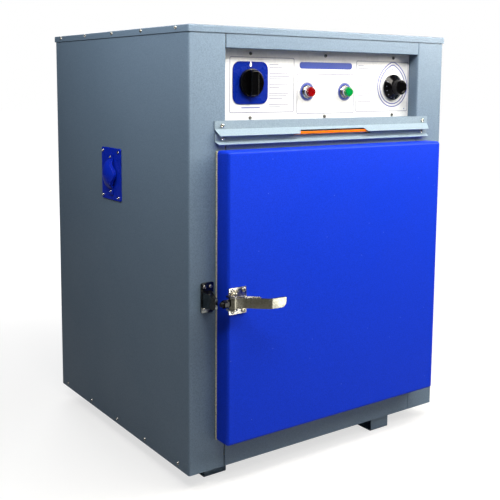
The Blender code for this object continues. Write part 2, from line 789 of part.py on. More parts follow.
def front_rails():
    return_back = FASCIA_Y - FIT_GAP
    sill = FASCIA_FOOT_Z
    head = FASCIA_TOP_Z
    front_panel("front_top_rail", [(return_back, head), (FRONT_Y, head), (FRONT_Y, PANEL_TOP_Z)])
    mid = front_panel("front_mid_rail", [(FRONT_Y, MID_RAIL_FOOT_Z), (FRONT_Y, sill), (return_back, sill)])
    drilled(mid, "cut_probe_rail", (PROBE_X, PROBE_Z), "y", PROBE_HOLE_RADIUS, FRONT_Y - CUT_SPARE, FASCIA_Y)
    bottom_back = FRONT_Y + RETURN_WIDTH
    top = BOTTOM_RAIL_TOP_Z
    front_panel("front_bottom_rail", [(FRONT_Y, BASE_Z), (FRONT_Y, top), (bottom_back, top)])


def mouth_frame():
    low = BOTTOM_RAIL_TOP_Z + FIT_GAP
    high = MID_RAIL_FOOT_Z - FIT_GAP
    frame = box(
        "mouth_frame",
        (STILE_LEFT_X + FIT_GAP, STILE_RIGHT_X - FIT_GAP),
        (FRONT_Y, FRONT_Y + PANEL_SHEET),
        (low, high),
        stainless(),
    )
    opening = box(
        "cut_mouth",
        (CHAMBER_LEFT_X, CHAMBER_RIGHT_X),
        (FRONT_Y - CUT_SPARE, FRONT_Y + PANEL_SHEET + CUT_SPARE),
        (CHAMBER_FLOOR_Z, CHAMBER_ROOF_Z),
        steel(),
    )
    return cut(frame, opening)


def divider_panel():
    z = DIVIDER_Z
    panel = box(
        "divider_panel",
        (INNER_LEFT_X, INNER_RIGHT_X),
        (FASCIA_Y + PANEL_SHEET + FIT_GAP, PANEL_BACK_Y - PANEL_SHEET - FIT_GAP),
        (z, z + PANEL_SHEET),
        steel(),
    )
    centre = (DIAL_AXIS.x, CAPILLARY_Y)
    low = z - CUT_SPARE
    return drilled(panel, "cut_divider", centre, "z", PROBE_HOLE_RADIUS, low, z + PANEL_SHEET + CUT_SPARE)


# Chamber

def heater_lanes():
    for side in (-1, 1):
        for end in (-1, 1):
            yield DOOR_MIDDLE_X + side * HEATER_OFFSET + end * HEATER_SPREAD / 2


def chamber_liner():
    sheet = LINER_SHEET
    wall_top = CHAMBER_ROOF_Z - FIT_GAP
    liner = box(
        "chamber_liner",
        (CHAMBER_LEFT_X - sheet, CHAMBER_RIGHT_X + sheet),
        (LINER_FRONT_Y, CHAMBER_BACK_Y + sheet),
        (CHAMBER_FLOOR_Z - sheet, wall_top),
        stainless(),
    )
    reach = LINER_FLANGE + sheet
    flange = box(
        "join_liner_flange",
        (CHAMBER_LEFT_X - reach, CHAMBER_RIGHT_X + reach),
        (LINER_FRONT_Y, LINER_FRONT_Y + sheet),
        (CHAMBER_FLOOR_Z - reach, wall_top),
        steel(),
    )
    joined(liner, flange)
    inside = box(
        "cut_chamber",
        (CHAMBER_LEFT_X, CHAMBER_RIGHT_X),
        (LINER_FRONT_Y - CUT_SPARE, CHAMBER_BACK_Y),
        (CHAMBER_FLOOR_Z, CHAMBER_ROOF_Z + CUT_SPARE),
        steel(),
    )
    cut(liner, inside)
    holes = []
    for x in heater_lanes():
        outline = circle((x, CHAMBER_FLOOR_Z + HEATER_HEIGHT), HEATER_HOLE_RADIUS, SMALL_ROUND_STEPS)
        back = CHAMBER_BACK_Y + sheet + CUT_SPARE
        holes.append(prism("hole", outline, "y", CHAMBER_BACK_Y - CUT_SPARE, back, steel()))
    return cut(liner, gathered("cut_heater_holes", holes, steel()))


# The roof panel lies on the liner's walls, with its front edge turned up as the flange.
def chamber_roof():
    sheet = LINER_SHEET
    roof = box(
        "chamber_roof",
        (CHAMBER_LEFT_X - sheet, CHAMBER_RIGHT_X + sheet),
        (LINER_FRONT_Y, CHAMBER_BACK_Y + sheet),
        (CHAMBER_ROOF_Z, CHAMBER_ROOF_Z + sheet),
        stainless(),
    )
    reach = LINER_FLANGE + sheet
    flange = box(
        "join_roof_flange",
        (CHAMBER_LEFT_X - reach, CHAMBER_RIGHT_X + reach),
        (LINER_FRONT_Y, LINER_FRONT_Y + sheet),
        (CHAMBER_ROOF_Z, CHAMBER_ROOF_Z + reach),
        steel(),
    )
    joined(roof, flange)
    cuts = (CHAMBER_ROOF_Z - CUT_SPARE, CHAMBER_ROOF_Z + sheet + CUT_SPARE)
    drilled(roof, "cut_roof_probe", (PROBE_X, PROBE_Y), "z", PROBE_HOLE_RADIUS, *cuts)
    return drilled(roof, "cut_roof_bulb", (DIAL_AXIS.x, CAPILLARY_Y), "z", PROBE_HOLE_RADIUS, *cuts)


def insulation_jacket():
    sheet = LINER_SHEET + FIT_GAP
    front = FASCIA_Y + PANEL_SHEET + FIT_GAP
    top = DIVIDER_Z - FIT_GAP
    jacket = box(
        "insulation_jacket",
        (INNER_LEFT_X + PANEL_SHEET + FIT_GAP, INNER_RIGHT_X - PANEL_SHEET - FIT_GAP),
        (front, CHAMBER_BACK_Y + INSULATION_REAR),
        (BASE_Z + PANEL_SHEET + FIT_GAP, top),
        insulation(),
    )
    hollow = box(
        "cut_jacket_inside",
        (CHAMBER_LEFT_X - sheet, CHAMBER_RIGHT_X + sheet),
        (front - CUT_SPARE, CHAMBER_BACK_Y + sheet),
        (CHAMBER_FLOOR_Z - sheet, CHAMBER_ROOF_Z + sheet),
        steel(),
    )
    cut(jacket, hollow)
    slot = box(
        "cut_probe_slot",
        (PROBE_X - PROBE_HOLE_RADIUS, PROBE_X + PROBE_HOLE_RADIUS),
        (front - CUT_SPARE, PROBE_Y + PROBE_HOLE_RADIUS),
        (CHAMBER_ROOF_Z - CUT_SPARE, top + CUT_SPARE),
        steel(),
    )
    cut(jacket, slot)
    centre = (DIAL_AXIS.x, CAPILLARY_Y)
    low = CHAMBER_ROOF_Z - CUT_SPARE
    drilled(jacket, "cut_bulb_shaft", centre, "z", PROBE_HOLE_RADIUS, low, top + CUT_SPARE)
    pockets = []
    for x in heater_lanes():
        outline = circle((x, CHAMBER_FLOOR_Z + HEATER_HEIGHT), HEATER_POCKET_RADIUS, SMALL_ROUND_STEPS)
        back = CHAMBER_BACK_Y + HEATER_TAIL + CUT_SPARE
        pockets.append(prism("pocket", outline, "y", CHAMBER_BACK_Y, back, steel()))
    return cut(jacket, gathered("cut_heater_pockets", pockets, steel()))


def shelf_runner(name, side):
    wall = CHAMBER_LEFT_X + FIT_GAP
    low = CHAMBER_FLOOR_Z + RUNNER_FOOT
    outline = [(wall, low), (wall + RUNNER_SHEET, low)]
    for index in range(LEDGE_COUNT):
        top = ledge_top(index)
        outline.append((wall + RUNNER_SHEET, top - RUNNER_LEDGE_SHEET))
        outline.append((wall + RUNNER_LEDGE, top - RUNNER_LEDGE_SHEET))
        outline.append((wall + RUNNER_LEDGE, top))
        outline.append((wall + RUNNER_SHEET, top))
    outline.append((wall + RUNNER_SHEET, low + RUNNER_HEIGHT))
    outline.append((wall, low + RUNNER_HEIGHT))
    if side > 0:
        outline = [(2 * DOOR_MIDDLE_X - x, z) for x, z in outline]
    back = CHAMBER_BACK_Y - RUNNER_BACK_GAP
    return prism(name, outline, "y", back - RUNNER_LENGTH, back, stainless())


def ledge_top(index):
    return CHAMBER_FLOOR_Z + RUNNER_FOOT + RUNNER_FIRST_LEDGE + index * RUNNER_LEDGE_PITCH


def shelf(name, ledge):
    left = CHAMBER_LEFT_X + RUNNER_SHEET + FIT_GAP + SHELF_SIDE_GAP + SHELF_ROD_RADIUS
    right = CHAMBER_RIGHT_X - RUNNER_SHEET - FIT_GAP - SHELF_SIDE_GAP - SHELF_ROD_RADIUS
    back = CHAMBER_BACK_Y - SHELF_REAR_GAP - SHELF_ROD_RADIUS
    front = back - SHELF_DEPTH + SHELF_ROD_RADIUS + SHELF_ROD_RADIUS
    z = ledge_top(ledge) + FIT_GAP + SHELF_ROD_RADIUS
    corners = [(left, front, z), (right, front, z), (right, back, z), (left, back, z)]
    loop = rounded_path(corners, SHELF_CORNER_RADIUS, CORNER_STEPS, closed=True)
    frame = rod(name, loop, SHELF_ROD_RADIUS, steel(), closed=True)
    wires = []
    for index in range(SHELF_WIRES):
        x = left + (right - left) * (index + 1) / (SHELF_WIRES + 1)
        ends = [(x, front, z + SHELF_WIRE_LIFT), (x, back, z + SHELF_WIRE_LIFT)]
        wires.append(rod("wire", ends, SHELF_WIRE_RADIUS, steel(), sides=ROD_SIDES))
    joined(frame, gathered("join_wires_" + name, wires, steel()))
    middle = (front + back) / 2
    bar = rod("join_bar_" + name, [(left, middle, z), (right, middle, z)], SHELF_BAR_RADIUS, steel())
    return joined(frame, bar)


def heater(name, side):
    middle = DOOR_MIDDLE_X + side * HEATER_OFFSET
    left = middle - HEATER_SPREAD / 2
    right = middle + HEATER_SPREAD / 2
    front = LINER_FRONT_Y + HEATER_FRONT_GAP
    back = CHAMBER_BACK_Y + HEATER_TAIL
    z = CHAMBER_FLOOR_Z + HEATER_HEIGHT
    corners = [(left, back, z), (left, front, z), (right, front, z), (right, back, z)]
    return rod(name, rounded_path(corners, HEATER_BEND, CORNER_STEPS), HEATER_RADIUS, heater_metal())


def heater_cover():
    left = CHAMBER_LEFT_X + COVER_PLATE_GAP
    right = CHAMBER_RIGHT_X - COVER_PLATE_GAP
    low = CHAMBER_FLOOR_Z + FIT_GAP
    top = CHAMBER_FLOOR_Z + COVER_PLATE_HEIGHT
    outline = folded([(left, low), (left, top), (right, top), (right, low)], COVER_PLATE_SHEET, PANEL_SHEET)
    front = LINER_FRONT_Y + COVER_PLATE_FRONT_GAP
    back = CHAMBER_BACK_Y - COVER_PLATE_GAP
    cover = prism("heater_cover", outline, "y", front, back, stainless())
    holes = []
    for column in range(COVER_HOLE_COLUMNS):
        for row in range(COVER_HOLE_ROWS):
            x = left + (right - left) * (column + 1) / (COVER_HOLE_COLUMNS + 1)
            y = front + (back - front) * (row + 1) / (COVER_HOLE_ROWS + 1)
            ring = circle((x, y), COVER_PLATE_HOLE_RADIUS, SMALL_ROUND_STEPS)
            start = top - COVER_PLATE_SHEET - CUT_SPARE
            holes.append(prism("hole", ring, "z", start, top + CUT_SPARE, steel()))
    return cut(cover, gathered("cut_cover_holes", holes, steel()))


# Strips and thermometer

def folded_strip(name, top, bend_z, lip_out, lip_drop):
    face = FRONT_Y - FIT_GAP - STRIP_SHEET
    path = [(face - lip_out, bend_z - lip_drop), (face, bend_z), (face, top)]
    outline = folded(path, STRIP_SHEET, STRIP_BEND)
    strip = prism(name, outline, "x", STRIP_LEFT_X, STRIP_RIGHT_X, cabinet_paint(), smooth=True)
    corners = []
    for end, way in ((STRIP_LEFT_X, 1), (STRIP_RIGHT_X, -1)):
        low = bend_z - lip_drop - CUT_SPARE
        outer = end - way * CUT_SPARE
        outline = [(outer, bend_z), (end, bend_z), (end + way * STRIP_END_CUT, low), (outer, low)]
        corners.append(prism("corner", outline, "y", face - lip_out - CUT_SPARE, FRONT_Y, steel()))
    return cut(strip, gathered("cut_ends_" + name, corners, steel()))


def drip_rail():
    rail = folded_strip("drip_rail", DRIP_TOP_Z, DRIP_BEND_Z, DRIP_LIP_OUT, DRIP_LIP_DROP)
    notch = box(
        "cut_drip_rail_notch",
        (PROBE_X - THERMOMETER_BEND, PROBE_X + PROBE_HOLE_RADIUS),
        (FRONT_Y - THERMOMETER_BEND, FRONT_Y),
        (PROBE_Z - PROBE_HOLE_RADIUS, PROBE_Z + PROBE_HOLE_RADIUS),
        steel(),
    )
    return cut(rail, notch)


def thermometer_guard():
    guard = folded_strip("thermometer_guard", GUARD_TOP_Z, GUARD_BEND_Z, GUARD_LIP_OUT, GUARD_LIP_DROP)
    left = -NOTCH_LEFT_REACH
    right = NOTCH_RIGHT_REACH
    top = GUARD_BEND_Z - NOTCH_DROP
    low = GUARD_BEND_Z - GUARD_LIP_DROP - CUT_SPARE
    outline = [(left, top), (right, top), (right + NOTCH_END_SLOPE, low), (left - NOTCH_END_SLOPE, low)]
    start = FRONT_Y - GUARD_LIP_OUT - STRIP_SHEET - CUT_SPARE
    return cut(guard, prism("cut_notch", outline, "y", start, FRONT_Y, steel()))


def thermometer():
    y = FRONT_Y - THERMOMETER_FRONT
    tip = CHAMBER_ROOF_Z - THERMOMETER_DIP
    corners = [
        (-THERMOMETER_LEFT_REACH, y, PROBE_Z),
        (PROBE_X, y, PROBE_Z),
        (PROBE_X, PROBE_Y, PROBE_Z),
        (PROBE_X, PROBE_Y, tip),
    ]
    path = rounded_path(corners, THERMOMETER_BEND, CORNER_STEPS)
    return rod("thermometer", path, THERMOMETER_RADIUS, orange_glass())


# Controls

def control_fascia():
    fascia = box(
        "control_fascia",
        (STILE_LEFT_X - FASCIA_MARGIN, STILE_RIGHT_X + FASCIA_MARGIN),
        (FASCIA_Y, FASCIA_Y + PANEL_SHEET),
        (FASCIA_FOOT_Z - FASCIA_MARGIN, FASCIA_TOP_Z + FASCIA_MARGIN),
        fascia_paint(),
    )
    spots = [((axis.x, axis.z), SHAFT_HOLE_RADIUS) for axis in (SELECTOR_AXIS, DIAL_AXIS)]
    spots += [((x, LAMP_Z), LAMP_HOLE_RADIUS) for x in (RED_LAMP_X, GREEN_LAMP_X)]
    holes = []
    for centre, radius in spots:
        outline = circle(centre, radius, SMALL_ROUND_STEPS)
        back = FASCIA_Y + PANEL_SHEET + CUT_SPARE
        holes.append(prism("hole", outline, "y", FASCIA_Y - CUT_SPARE, back, steel()))
    return cut(fascia, gathered("cut_fascia_holes", holes, steel()))


def heat_selector_plate():
    centre = (SELECTOR_AXIS.x, SELECTOR_AXIS.z)
    outline = rounded_rectangle(centre, SELECTOR_PLATE_WIDTH, SELECTOR_PLATE_HEIGHT, SELECTOR_PLATE_RADIUS)
    back = FASCIA_Y - FIT_GAP
    front = back - SELECTOR_PLATE_SHEET
    plate = prism("heat_selector_plate", outline, "y", front, back, plate_blue(), smooth=True)
    end = back + CUT_SPARE
    return drilled(plate, "cut_plate_hole", centre, "y", SHAFT_HOLE_RADIUS, front - CUT_SPARE, end)


# A control's shaft runs through the fascia into a bore in the body behind it.
def shaft_profile(front, depth_rings):
    end = PANEL_SHEET + SHAFT_REACH
    return depth_rings + [(SHAFT_RADIUS, front), (SHAFT_RADIUS, end), (0, end)]


def heat_selector_knob():
    back = -FIT_GAP - SELECTOR_PLATE_SHEET - FIT_GAP
    face = back - SELECTOR_DISC_DEPTH
    rings = [
        (0, face),
        (SELECTOR_DISC_RADIUS - SELECTOR_DISC_CHAMFER, face),
        (SELECTOR_DISC_RADIUS, face + SELECTOR_DISC_CHAMFER),
        (SELECTOR_DISC_RADIUS, back),
    ]
    knob = turned("heat_selector_knob", shaft_profile(back, rings), SELECTOR_AXIS, "y", black_plastic())
    centre = (SELECTOR_AXIS.x, SELECTOR_AXIS.z)
    outline = rounded_rectangle(centre, SELECTOR_GRIP_WIDTH, SELECTOR_GRIP_LENGTH, SELECTOR_GRIP_RADIUS)
    start = FASCIA_Y + face + SELECTOR_DISC_DEPTH / 2
    end = FASCIA_Y + face - SELECTOR_GRIP_DEPTH
    grip = prism("join_selector_grip", outline, "y", start, end, steel(), taper=GRIP_TAPER)
    turns_about(SELECTOR_AXIS, [knob])
    return joined(knob, grip)


def thermostat_dial():
    back = -FIT_GAP - DIAL_CLEARANCE
    skirt = back - DIAL_SKIRT_DEPTH
    cone = skirt - DIAL_CONE_DEPTH
    face = back - DIAL_DEPTH
    rings = [
        (0, face),
        (DIAL_KNOB_RADIUS - DIAL_CHAMFER, face),
        (DIAL_KNOB_RADIUS, face + DIAL_CHAMFER),
        (DIAL_KNOB_RADIUS, cone),
        (DIAL_RADIUS - DIAL_CHAMFER, skirt),
        (DIAL_RADIUS, skirt + DIAL_CHAMFER),
        (DIAL_RADIUS, back),
    ]
    dial = turned("thermostat_dial", shaft_profile(back, rings), DIAL_AXIS, "y", black_plastic())
    turns_about(DIAL_AXIS, [dial])
    return dial


def control_bore(piece, name, axis):
    front = FASCIA_Y + PANEL_SHEET
    end = front + SHAFT_REACH + FIT_GAP
    return drilled(piece, name, (axis.x, axis.z), "y", SHAFT_HOLE_RADIUS, front - CUT_SPARE, end)


def heat_selector_switch():
    front = FASCIA_Y + PANEL_SHEET + FIT_GAP
    middle = (SELECTOR_AXIS.x, SELECTOR_AXIS.z)
    flange = rounded_rectangle(middle, SWITCH_FLANGE, SWITCH_FLANGE, SELECTOR_GRIP_RADIUS, BEND_STEPS)
    body = rounded_rectangle(middle, SWITCH_BODY, SWITCH_BODY, SELECTOR_GRIP_RADIUS, BEND_STEPS)
    switch = prism("heat_selector_switch", flange, "y", front, front + SWITCH_FLANGE_DEPTH, brown_phenolic())
    half = front + SWITCH_FLANGE_DEPTH / 2
    joined(switch, prism("join_switch_body", body, "y", half, front + SWITCH_BODY_DEPTH, steel()))
    return control_bore(switch, "cut_switch_bore", SELECTOR_AXIS)


def thermostat_body():
    front = FASCIA_Y + PANEL_SHEET + FIT_GAP
    middle = (DIAL_AXIS.x, DIAL_AXIS.z)
    outline = rounded_rectangle(middle, THERMOSTAT_WIDTH, THERMOSTAT_HEIGHT, SELECTOR_GRIP_RADIUS, BEND_STEPS)
    body = prism("thermostat_body", outline, "y", front, front + THERMOSTAT_DEPTH, brown_phenolic())
    return control_bore(body, "cut_thermostat_bore", DIAL_AXIS)


def thermostat_bulb():
    start_y = FASCIA_Y + PANEL_SHEET + FIT_GAP + THERMOSTAT_DEPTH + FIT_GAP
    x = DIAL_AXIS.x
    bulb_low = CHAMBER_ROOF_Z - BULB_DIP
    bulb_high = bulb_low + BULB_LENGTH
    z = DIAL_AXIS.z
    corners = [(x, start_y, z), (x, CAPILLARY_Y, z), (x, CAPILLARY_Y, bulb_high - BULB_RADIUS)]
    path = rounded_path(corners, CAPILLARY_BEND, CORNER_STEPS)
    capillary = rod("thermostat_bulb", path, CAPILLARY_RADIUS, steel())
    profile = [
        (0, bulb_low),
        (BULB_RADIUS - CAPILLARY_RADIUS, bulb_low),
        (BULB_RADIUS, bulb_low + CAPILLARY_RADIUS),
        (BULB_RADIUS, bulb_high - CAPILLARY_RADIUS),
        (BULB_RADIUS - CAPILLARY_RADIUS, bulb_high),
        (0, bulb_high),
    ]
    centre = Vector((x, CAPILLARY_Y, 0))
    return joined(capillary, turned("join_bulb", profile, centre, "z", steel(), steps=SMALL_ROUND_STEPS))


def indicator_lamp(colour, x, lens_material):
    centre = Vector((x, FASCIA_Y, LAMP_Z))
    seat = -FIT_GAP
    flange = seat - LAMP_FLANGE_DEPTH
    face = seat - LAMP_COLLAR_DEPTH
    bezel = [
        (LAMP_BORE_RADIUS, face),
        (LAMP_COLLAR_RADIUS, face),
        (LAMP_COLLAR_RADIUS, flange),
        (LAMP_FLANGE_RADIUS, flange),
        (LAMP_FLANGE_RADIUS, seat),
        (LAMP_NECK_RADIUS, seat),
        (LAMP_NECK_RADIUS, LAMP_NECK_LENGTH),
        (LAMP_BORE_RADIUS, LAMP_NECK_LENGTH),
    ]
    turned("lamp_" + colour + "_bezel", bezel, centre, "y", nickel(), hollow=True)
    back = face - FIT_GAP
    front = back - LENS_DEPTH
    lens = [
        (0, front),
        (LENS_RADIUS - LENS_CHAMFER, front),
        (LENS_RADIUS, front + LENS_CHAMFER),
        (LENS_RADIUS, back),
        (LENS_STEM_RADIUS, back),
        (LENS_STEM_RADIUS, back + LENS_STEM_LENGTH),
        (0, back + LENS_STEM_LENGTH),
    ]
    turned("lamp_" + colour + "_lens", lens, centre, "y", lens_material)


# Side handles

def handle_plate(name, side):
    outline = rounded_rectangle(
        (HANDLE_MIDDLE_Y, HANDLE_FOOT_Z + HANDLE_PLATE_HEIGHT / 2),
        HANDLE_PLATE_WIDTH,
        HANDLE_PLATE_HEIGHT,
        HANDLE_PLATE_RADIUS,
        BEND_STEPS,
    )
    inner = side * (RIGHT_X + FIT_GAP)
    outer = side * (RIGHT_X + FIT_GAP + HANDLE_PLATE_SHEET)
    return prism(name, outline, "x", inner, outer, door_paint())


# A pressed strap, narrow at its two feet and wide, bowed and curled over in the middle.
def handle_grip(name, side):
    shape = bmesh.new()
    foot_z = HANDLE_FOOT_Z + (HANDLE_PLATE_HEIGHT - GRIP_LENGTH) / 2
    base_x = RIGHT_X + FIT_GAP + HANDLE_PLATE_SHEET + FIT_GAP
    rows = []
    for along, lift, widen in zip(GRIP_LENGTH_SHARES, GRIP_LIFT_SHARES, GRIP_WIDTH_SHARES):
        half = GRIP_FOOT_HALF_WIDTH + (GRIP_MIDDLE_HALF_WIDTH - GRIP_FOOT_HALF_WIDTH) * widen
        z = foot_z + GRIP_LENGTH * along
        outer = []
        inner = []
        for step in range(GRIP_ACROSS + 1):
            across = 2 * step / GRIP_ACROSS - 1
            x = base_x + GRIP_CROWN * lift - GRIP_CURL * widen * across * across
            y = HANDLE_MIDDLE_Y + half * across
            inner.append(shape.verts.new((side * x, y, z)))
            outer.append(shape.verts.new((side * (x + GRIP_SHEET), y, z)))
        rows.append(outer + inner[::-1])
    for first, second in zip(rows, rows[1:]):
        for index in range(len(first)):
            after = (index + 1) % len(first)
            shape.faces.new((first[index], first[after], second[after], second[index]))
    shape.faces.new(rows[0])
    shape.faces.new(rows[-1])
    return finished(name, shape, door_paint(), smooth=True)


# Feet, gland and terminal block

# Each foot is a short length of square tube, open at its left and right ends.
def foot(name, left, near):
    outline = rounded_rectangle(
        (near + FOOT_DEPTH / 2, (FOOT_HEIGHT - FIT_GAP) / 2),
        FOOT_DEPTH,
        FOOT_HEIGHT - FIT_GAP,
        FOOT_BEND,
        BEND_STEPS,
    )
    tube = prism(name, outline, "x", left, left + FOOT_WIDTH, cabinet_paint(), smooth=True)
    hollow = rounded_rectangle(
        (near + FOOT_DEPTH / 2, (FOOT_HEIGHT - FIT_GAP) / 2),
        FOOT_DEPTH - 2 * FOOT_SHEET,
        FOOT_HEIGHT - FIT_GAP - 2 * FOOT_SHEET,
        FOOT_BEND - FOOT_SHEET,
        BEND_STEPS,
    )
    start = left - CUT_SPARE
    return cut(tube, prism("cut_" + name, hollow, "x", start, left + FOOT_WIDTH + CUT_SPARE, steel()))


def feet():
    left_back = BACK_Y - LEFT_FOOT_SETBACK - FOOT_DEPTH
    right_back = BACK_Y - RIGHT_FOOT_SETBACK - FOOT_DEPTH
    left = LEFT_X + LEFT_FOOT_SIDE
    right = RIGHT_X - RIGHT_FOOT_SIDE - FOOT_WIDTH
    foot("foot_front_left", left, FRONT_Y + LEFT_FOOT_SETBACK)
    foot("foot_front_right", right, FRONT_Y + RIGHT_FOOT_SETBACK)
    foot("foot_rear_left", left, left_back)
    foot("foot_rear_right", right, right_back)


def cable_gland():
    centre = Vector((GLAND_X, PANEL_BACK_Y, GLAND_Z))
    end = BACK_Y + GLAND_REACH - PANEL_BACK_Y
    seat = FIT_GAP
    flange = seat + GLAND_FLANGE_DEPTH
    dome = end - GLAND_BORE_RADIUS
    profile = [
        (GLAND_BORE_RADIUS, -GLAND_NECK_REACH),
        (GLAND_NECK_RADIUS, -GLAND_NECK_REACH),
        (GLAND_NECK_RADIUS, seat),
        (GLAND_FLANGE_RADIUS, seat),
        (GLAND_FLANGE_RADIUS, flange),
        (GLAND_DOME_RADIUS, flange),
        (GLAND_DOME_RADIUS, dome),
        (GLAND_NECK_RADIUS, end),
        (GLAND_BORE_RADIUS, end),
    ]
    return turned("cable_gland", profile, centre, "y", black_plastic(), hollow=True)


def terminal_block():
    low = DIVIDER_Z + PANEL_SHEET + FIT_GAP
    front = FRONT_Y + TERMINAL_SETBACK
    x = (-TERMINAL_LENGTH / 2, TERMINAL_LENGTH / 2)
    y = (front, front + TERMINAL_DEPTH)
    block = box("terminal_block", x, y, (low, low + TERMINAL_HEIGHT), brown_phenolic())
    slots = []
    for way in range(1, TERMINAL_WAYS):
        middle = x[0] + TERMINAL_LENGTH * way / TERMINAL_WAYS
        sides = (middle - TERMINAL_SLOT / 2, middle + TERMINAL_SLOT / 2)
        ends = (y[0] - CUT_SPARE, y[1] + CUT_SPARE)
        heights = (low + TERMINAL_HEIGHT - TERMINAL_SLOT_DEPTH, low + TERMINAL_HEIGHT + CUT_SPARE)
        slots.append(box("slot", sides, ends, heights, steel()))
    return cut(block, gathered("cut_terminal_slots", slots, steel()))


# Hinges

def hinge_levels(share):
    middle = DOOR_FOOT_Z + DOOR_SIDE * share
    low = middle - 3 * KNUCKLE_HEIGHT / 2
    return low, low + KNUCKLE_HEIGHT, low + 2 * KNUCKLE_HEIGHT, low + 3 * KNUCKLE_HEIGHT


def hinge_bore(piece, name, low, high):
    radius = HINGE_PIN_RADIUS + FIT_GAP
    axis = (HINGE_AXIS.x, HINGE_AXIS.y)
    return drilled(piece, name, axis, "z", radius, low - CUT_SPARE, high + CUT_SPARE)


def hinge(where, share):
    low, first, second, high = hinge_levels(share)
    x, y = HINGE_AXIS.x, HINGE_AXIS.y
    ring = circle((x, y), KNUCKLE_RADIUS, SMALL_ROUND_STEPS, math.pi / SMALL_ROUND_STEPS)

    leaf_back = FRONT_Y - FIT_GAP
    leaf_front = leaf_back - HINGE_LEAF_SHEET
    frame = box(
        "hinge_frame_leaf_" + where,
        (x, x + FRAME_LEAF_REACH),
        (leaf_front, leaf_back),
        (low, high),
        nickel(),
    )
    joined(frame, prism("join_frame_barrel_" + where, ring, "z", low, high, steel()))
    space = KNUCKLE_RADIUS + FIT_GAP + FIT_GAP
    gap = box(
        "cut_frame_leaf_" + where,
        (x - space, x + space),
        (y - space, FRONT_Y),
        (first - FIT_GAP, second + FIT_GAP),
        steel(),
    )
    cut(frame, gap)
    hinge_bore(frame, "cut_frame_bore_" + where, low, high)

    door_side = DOOR_RIGHT_X + FIT_GAP
    plate_back = y - KNUCKLE_RADIUS - FIT_GAP
    plate_front = plate_back - DOOR_LEAF_REACH + KNUCKLE_RADIUS + KNUCKLE_RADIUS
    sides = (door_side, door_side + HINGE_LEAF_SHEET)
    leaf = box("hinge_door_leaf_" + where, sides, (plate_front, plate_back), (low, high), nickel())
    middle = (first + FIT_GAP, second - FIT_GAP)
    joined(leaf, box("join_door_tab_" + where, sides, (plate_back - KNUCKLE_RADIUS, y), middle, steel()))
    joined(leaf, prism("join_door_barrel_" + where, ring, "z", *middle, steel()))
    hinge_bore(leaf, "cut_door_bore_" + where, low, high)

    pin = circle((x, y), HINGE_PIN_RADIUS, SMALL_ROUND_STEPS, math.pi / SMALL_ROUND_STEPS)
    prism("hinge_pin_" + where, pin, "z", low, high, steel(), smooth=True)
    return leaf


# Door

def door_outer():
    x = (DOOR_LEFT_X, DOOR_RIGHT_X)
    y = (DOOR_FRONT_Y, DOOR_BACK_Y)
    z = (DOOR_FOOT_Z, DOOR_TOP_Z)
    door = box("door_outer", x, y, z, door_paint())
    rounding = door.modifiers.new("Rounded edges", "BEVEL")
    rounding.width = DOOR_EDGE_RADIUS
    rounding.segments = BEND_STEPS
    rounding.limit_method = "WEIGHT"
    mark_edges(door, lambda low, high: low.y < 0 or high.y < 0)
    sheet = PANEL_SHEET
    inside = box(
        "cut_door_inside",
        (x[0] + sheet, x[1] - sheet),
        (y[0] + sheet, y[1] + CUT_SPARE),
        (z[0] + sheet, z[1] - sheet),
        steel(),
    )
    hollow_rounding = inside.modifiers.new("Rounded edges", "BEVEL")
    hollow_rounding.width = DOOR_EDGE_RADIUS - sheet
    hollow_rounding.segments = BEND_STEPS
    hollow_rounding.limit_method = "WEIGHT"
    mark_edges(inside, lambda low, high: low.y < 0 or high.y < 0)
    return cut(door, inside)


def door_inner_panel():
    side = DOOR_SIDE - 2 * (PANEL_SHEET + FIT_GAP)
    middle = (DOOR_MIDDLE_X, DOOR_MIDDLE_Z)
    outline = rounded_rectangle(middle, side, side, DOOR_EDGE_RADIUS, BEND_STEPS)
    panel = prism("door_inner_panel", outline, "y", DOOR_BACK_Y - PANEL_SHEET, DOOR_BACK_Y, stainless())
    plug_end = FRONT_Y + DOOR_PLUG_RISE
    width = DOOR_PLUG_WIDTH
    plug = rounded_rectangle(middle, width, width, DOOR_EDGE_RADIUS, BEND_STEPS)
    shrink = (width - DOOR_PLUG_TAPER) / width
    start = DOOR_BACK_Y - PANEL_SHEET / 2
    joined(panel, prism("join_door_plug", plug, "y", start, plug_end, steel(), taper=shrink))
    inner_width = width - DOOR_PLUG_TAPER
    hollow = rounded_rectangle(middle, inner_width, inner_width, DOOR_EDGE_RADIUS, BEND_STEPS)
    start = DOOR_BACK_Y - PANEL_SHEET - CUT_SPARE
    end = plug_end - PANEL_SHEET
    return cut(panel, prism("cut_door_plug", hollow, "y", start, end, steel(), taper=shrink))


def door_insulation():
    inset = PANEL_SHEET + FIT_GAP + DOOR_EDGE_RADIUS
    return box(
        "door_insulation",
        (DOOR_LEFT_X + inset, DOOR_RIGHT_X - inset),
        (DOOR_FRONT_Y + PANEL_SHEET + FIT_GAP, DOOR_BACK_Y - PANEL_SHEET - FIT_GAP),
        (DOOR_FOOT_Z + inset, DOOR_TOP_Z - inset),
        insulation(),
    )


def door_gasket():
    middle = (DOOR_MIDDLE_X, DOOR_MIDDLE_Z)
    outer_side = DOOR_SIDE - 2 * GASKET_INSET
    inner_side = outer_side - 2 * GASKET_WIDTH
    front = DOOR_BACK_Y + FIT_GAP
    back = front + GASKET_DEPTH
    outline = rounded_rectangle(middle, outer_side, outer_side, DOOR_EDGE_RADIUS, BEND_STEPS)
    lip = (outer_side - GASKET_CHAMFER) / outer_side
    gasket = prism("door_gasket", outline, "y", front, back, gasket_rubber(), taper=lip)
    hole = rounded_rectangle(middle, inner_side, inner_side, DOOR_EDGE_RADIUS, BEND_STEPS)
    return cut(gasket, prism("cut_gasket", hole, "y", front - CUT_SPARE, back + CUT_SPARE, steel()))


# Latch

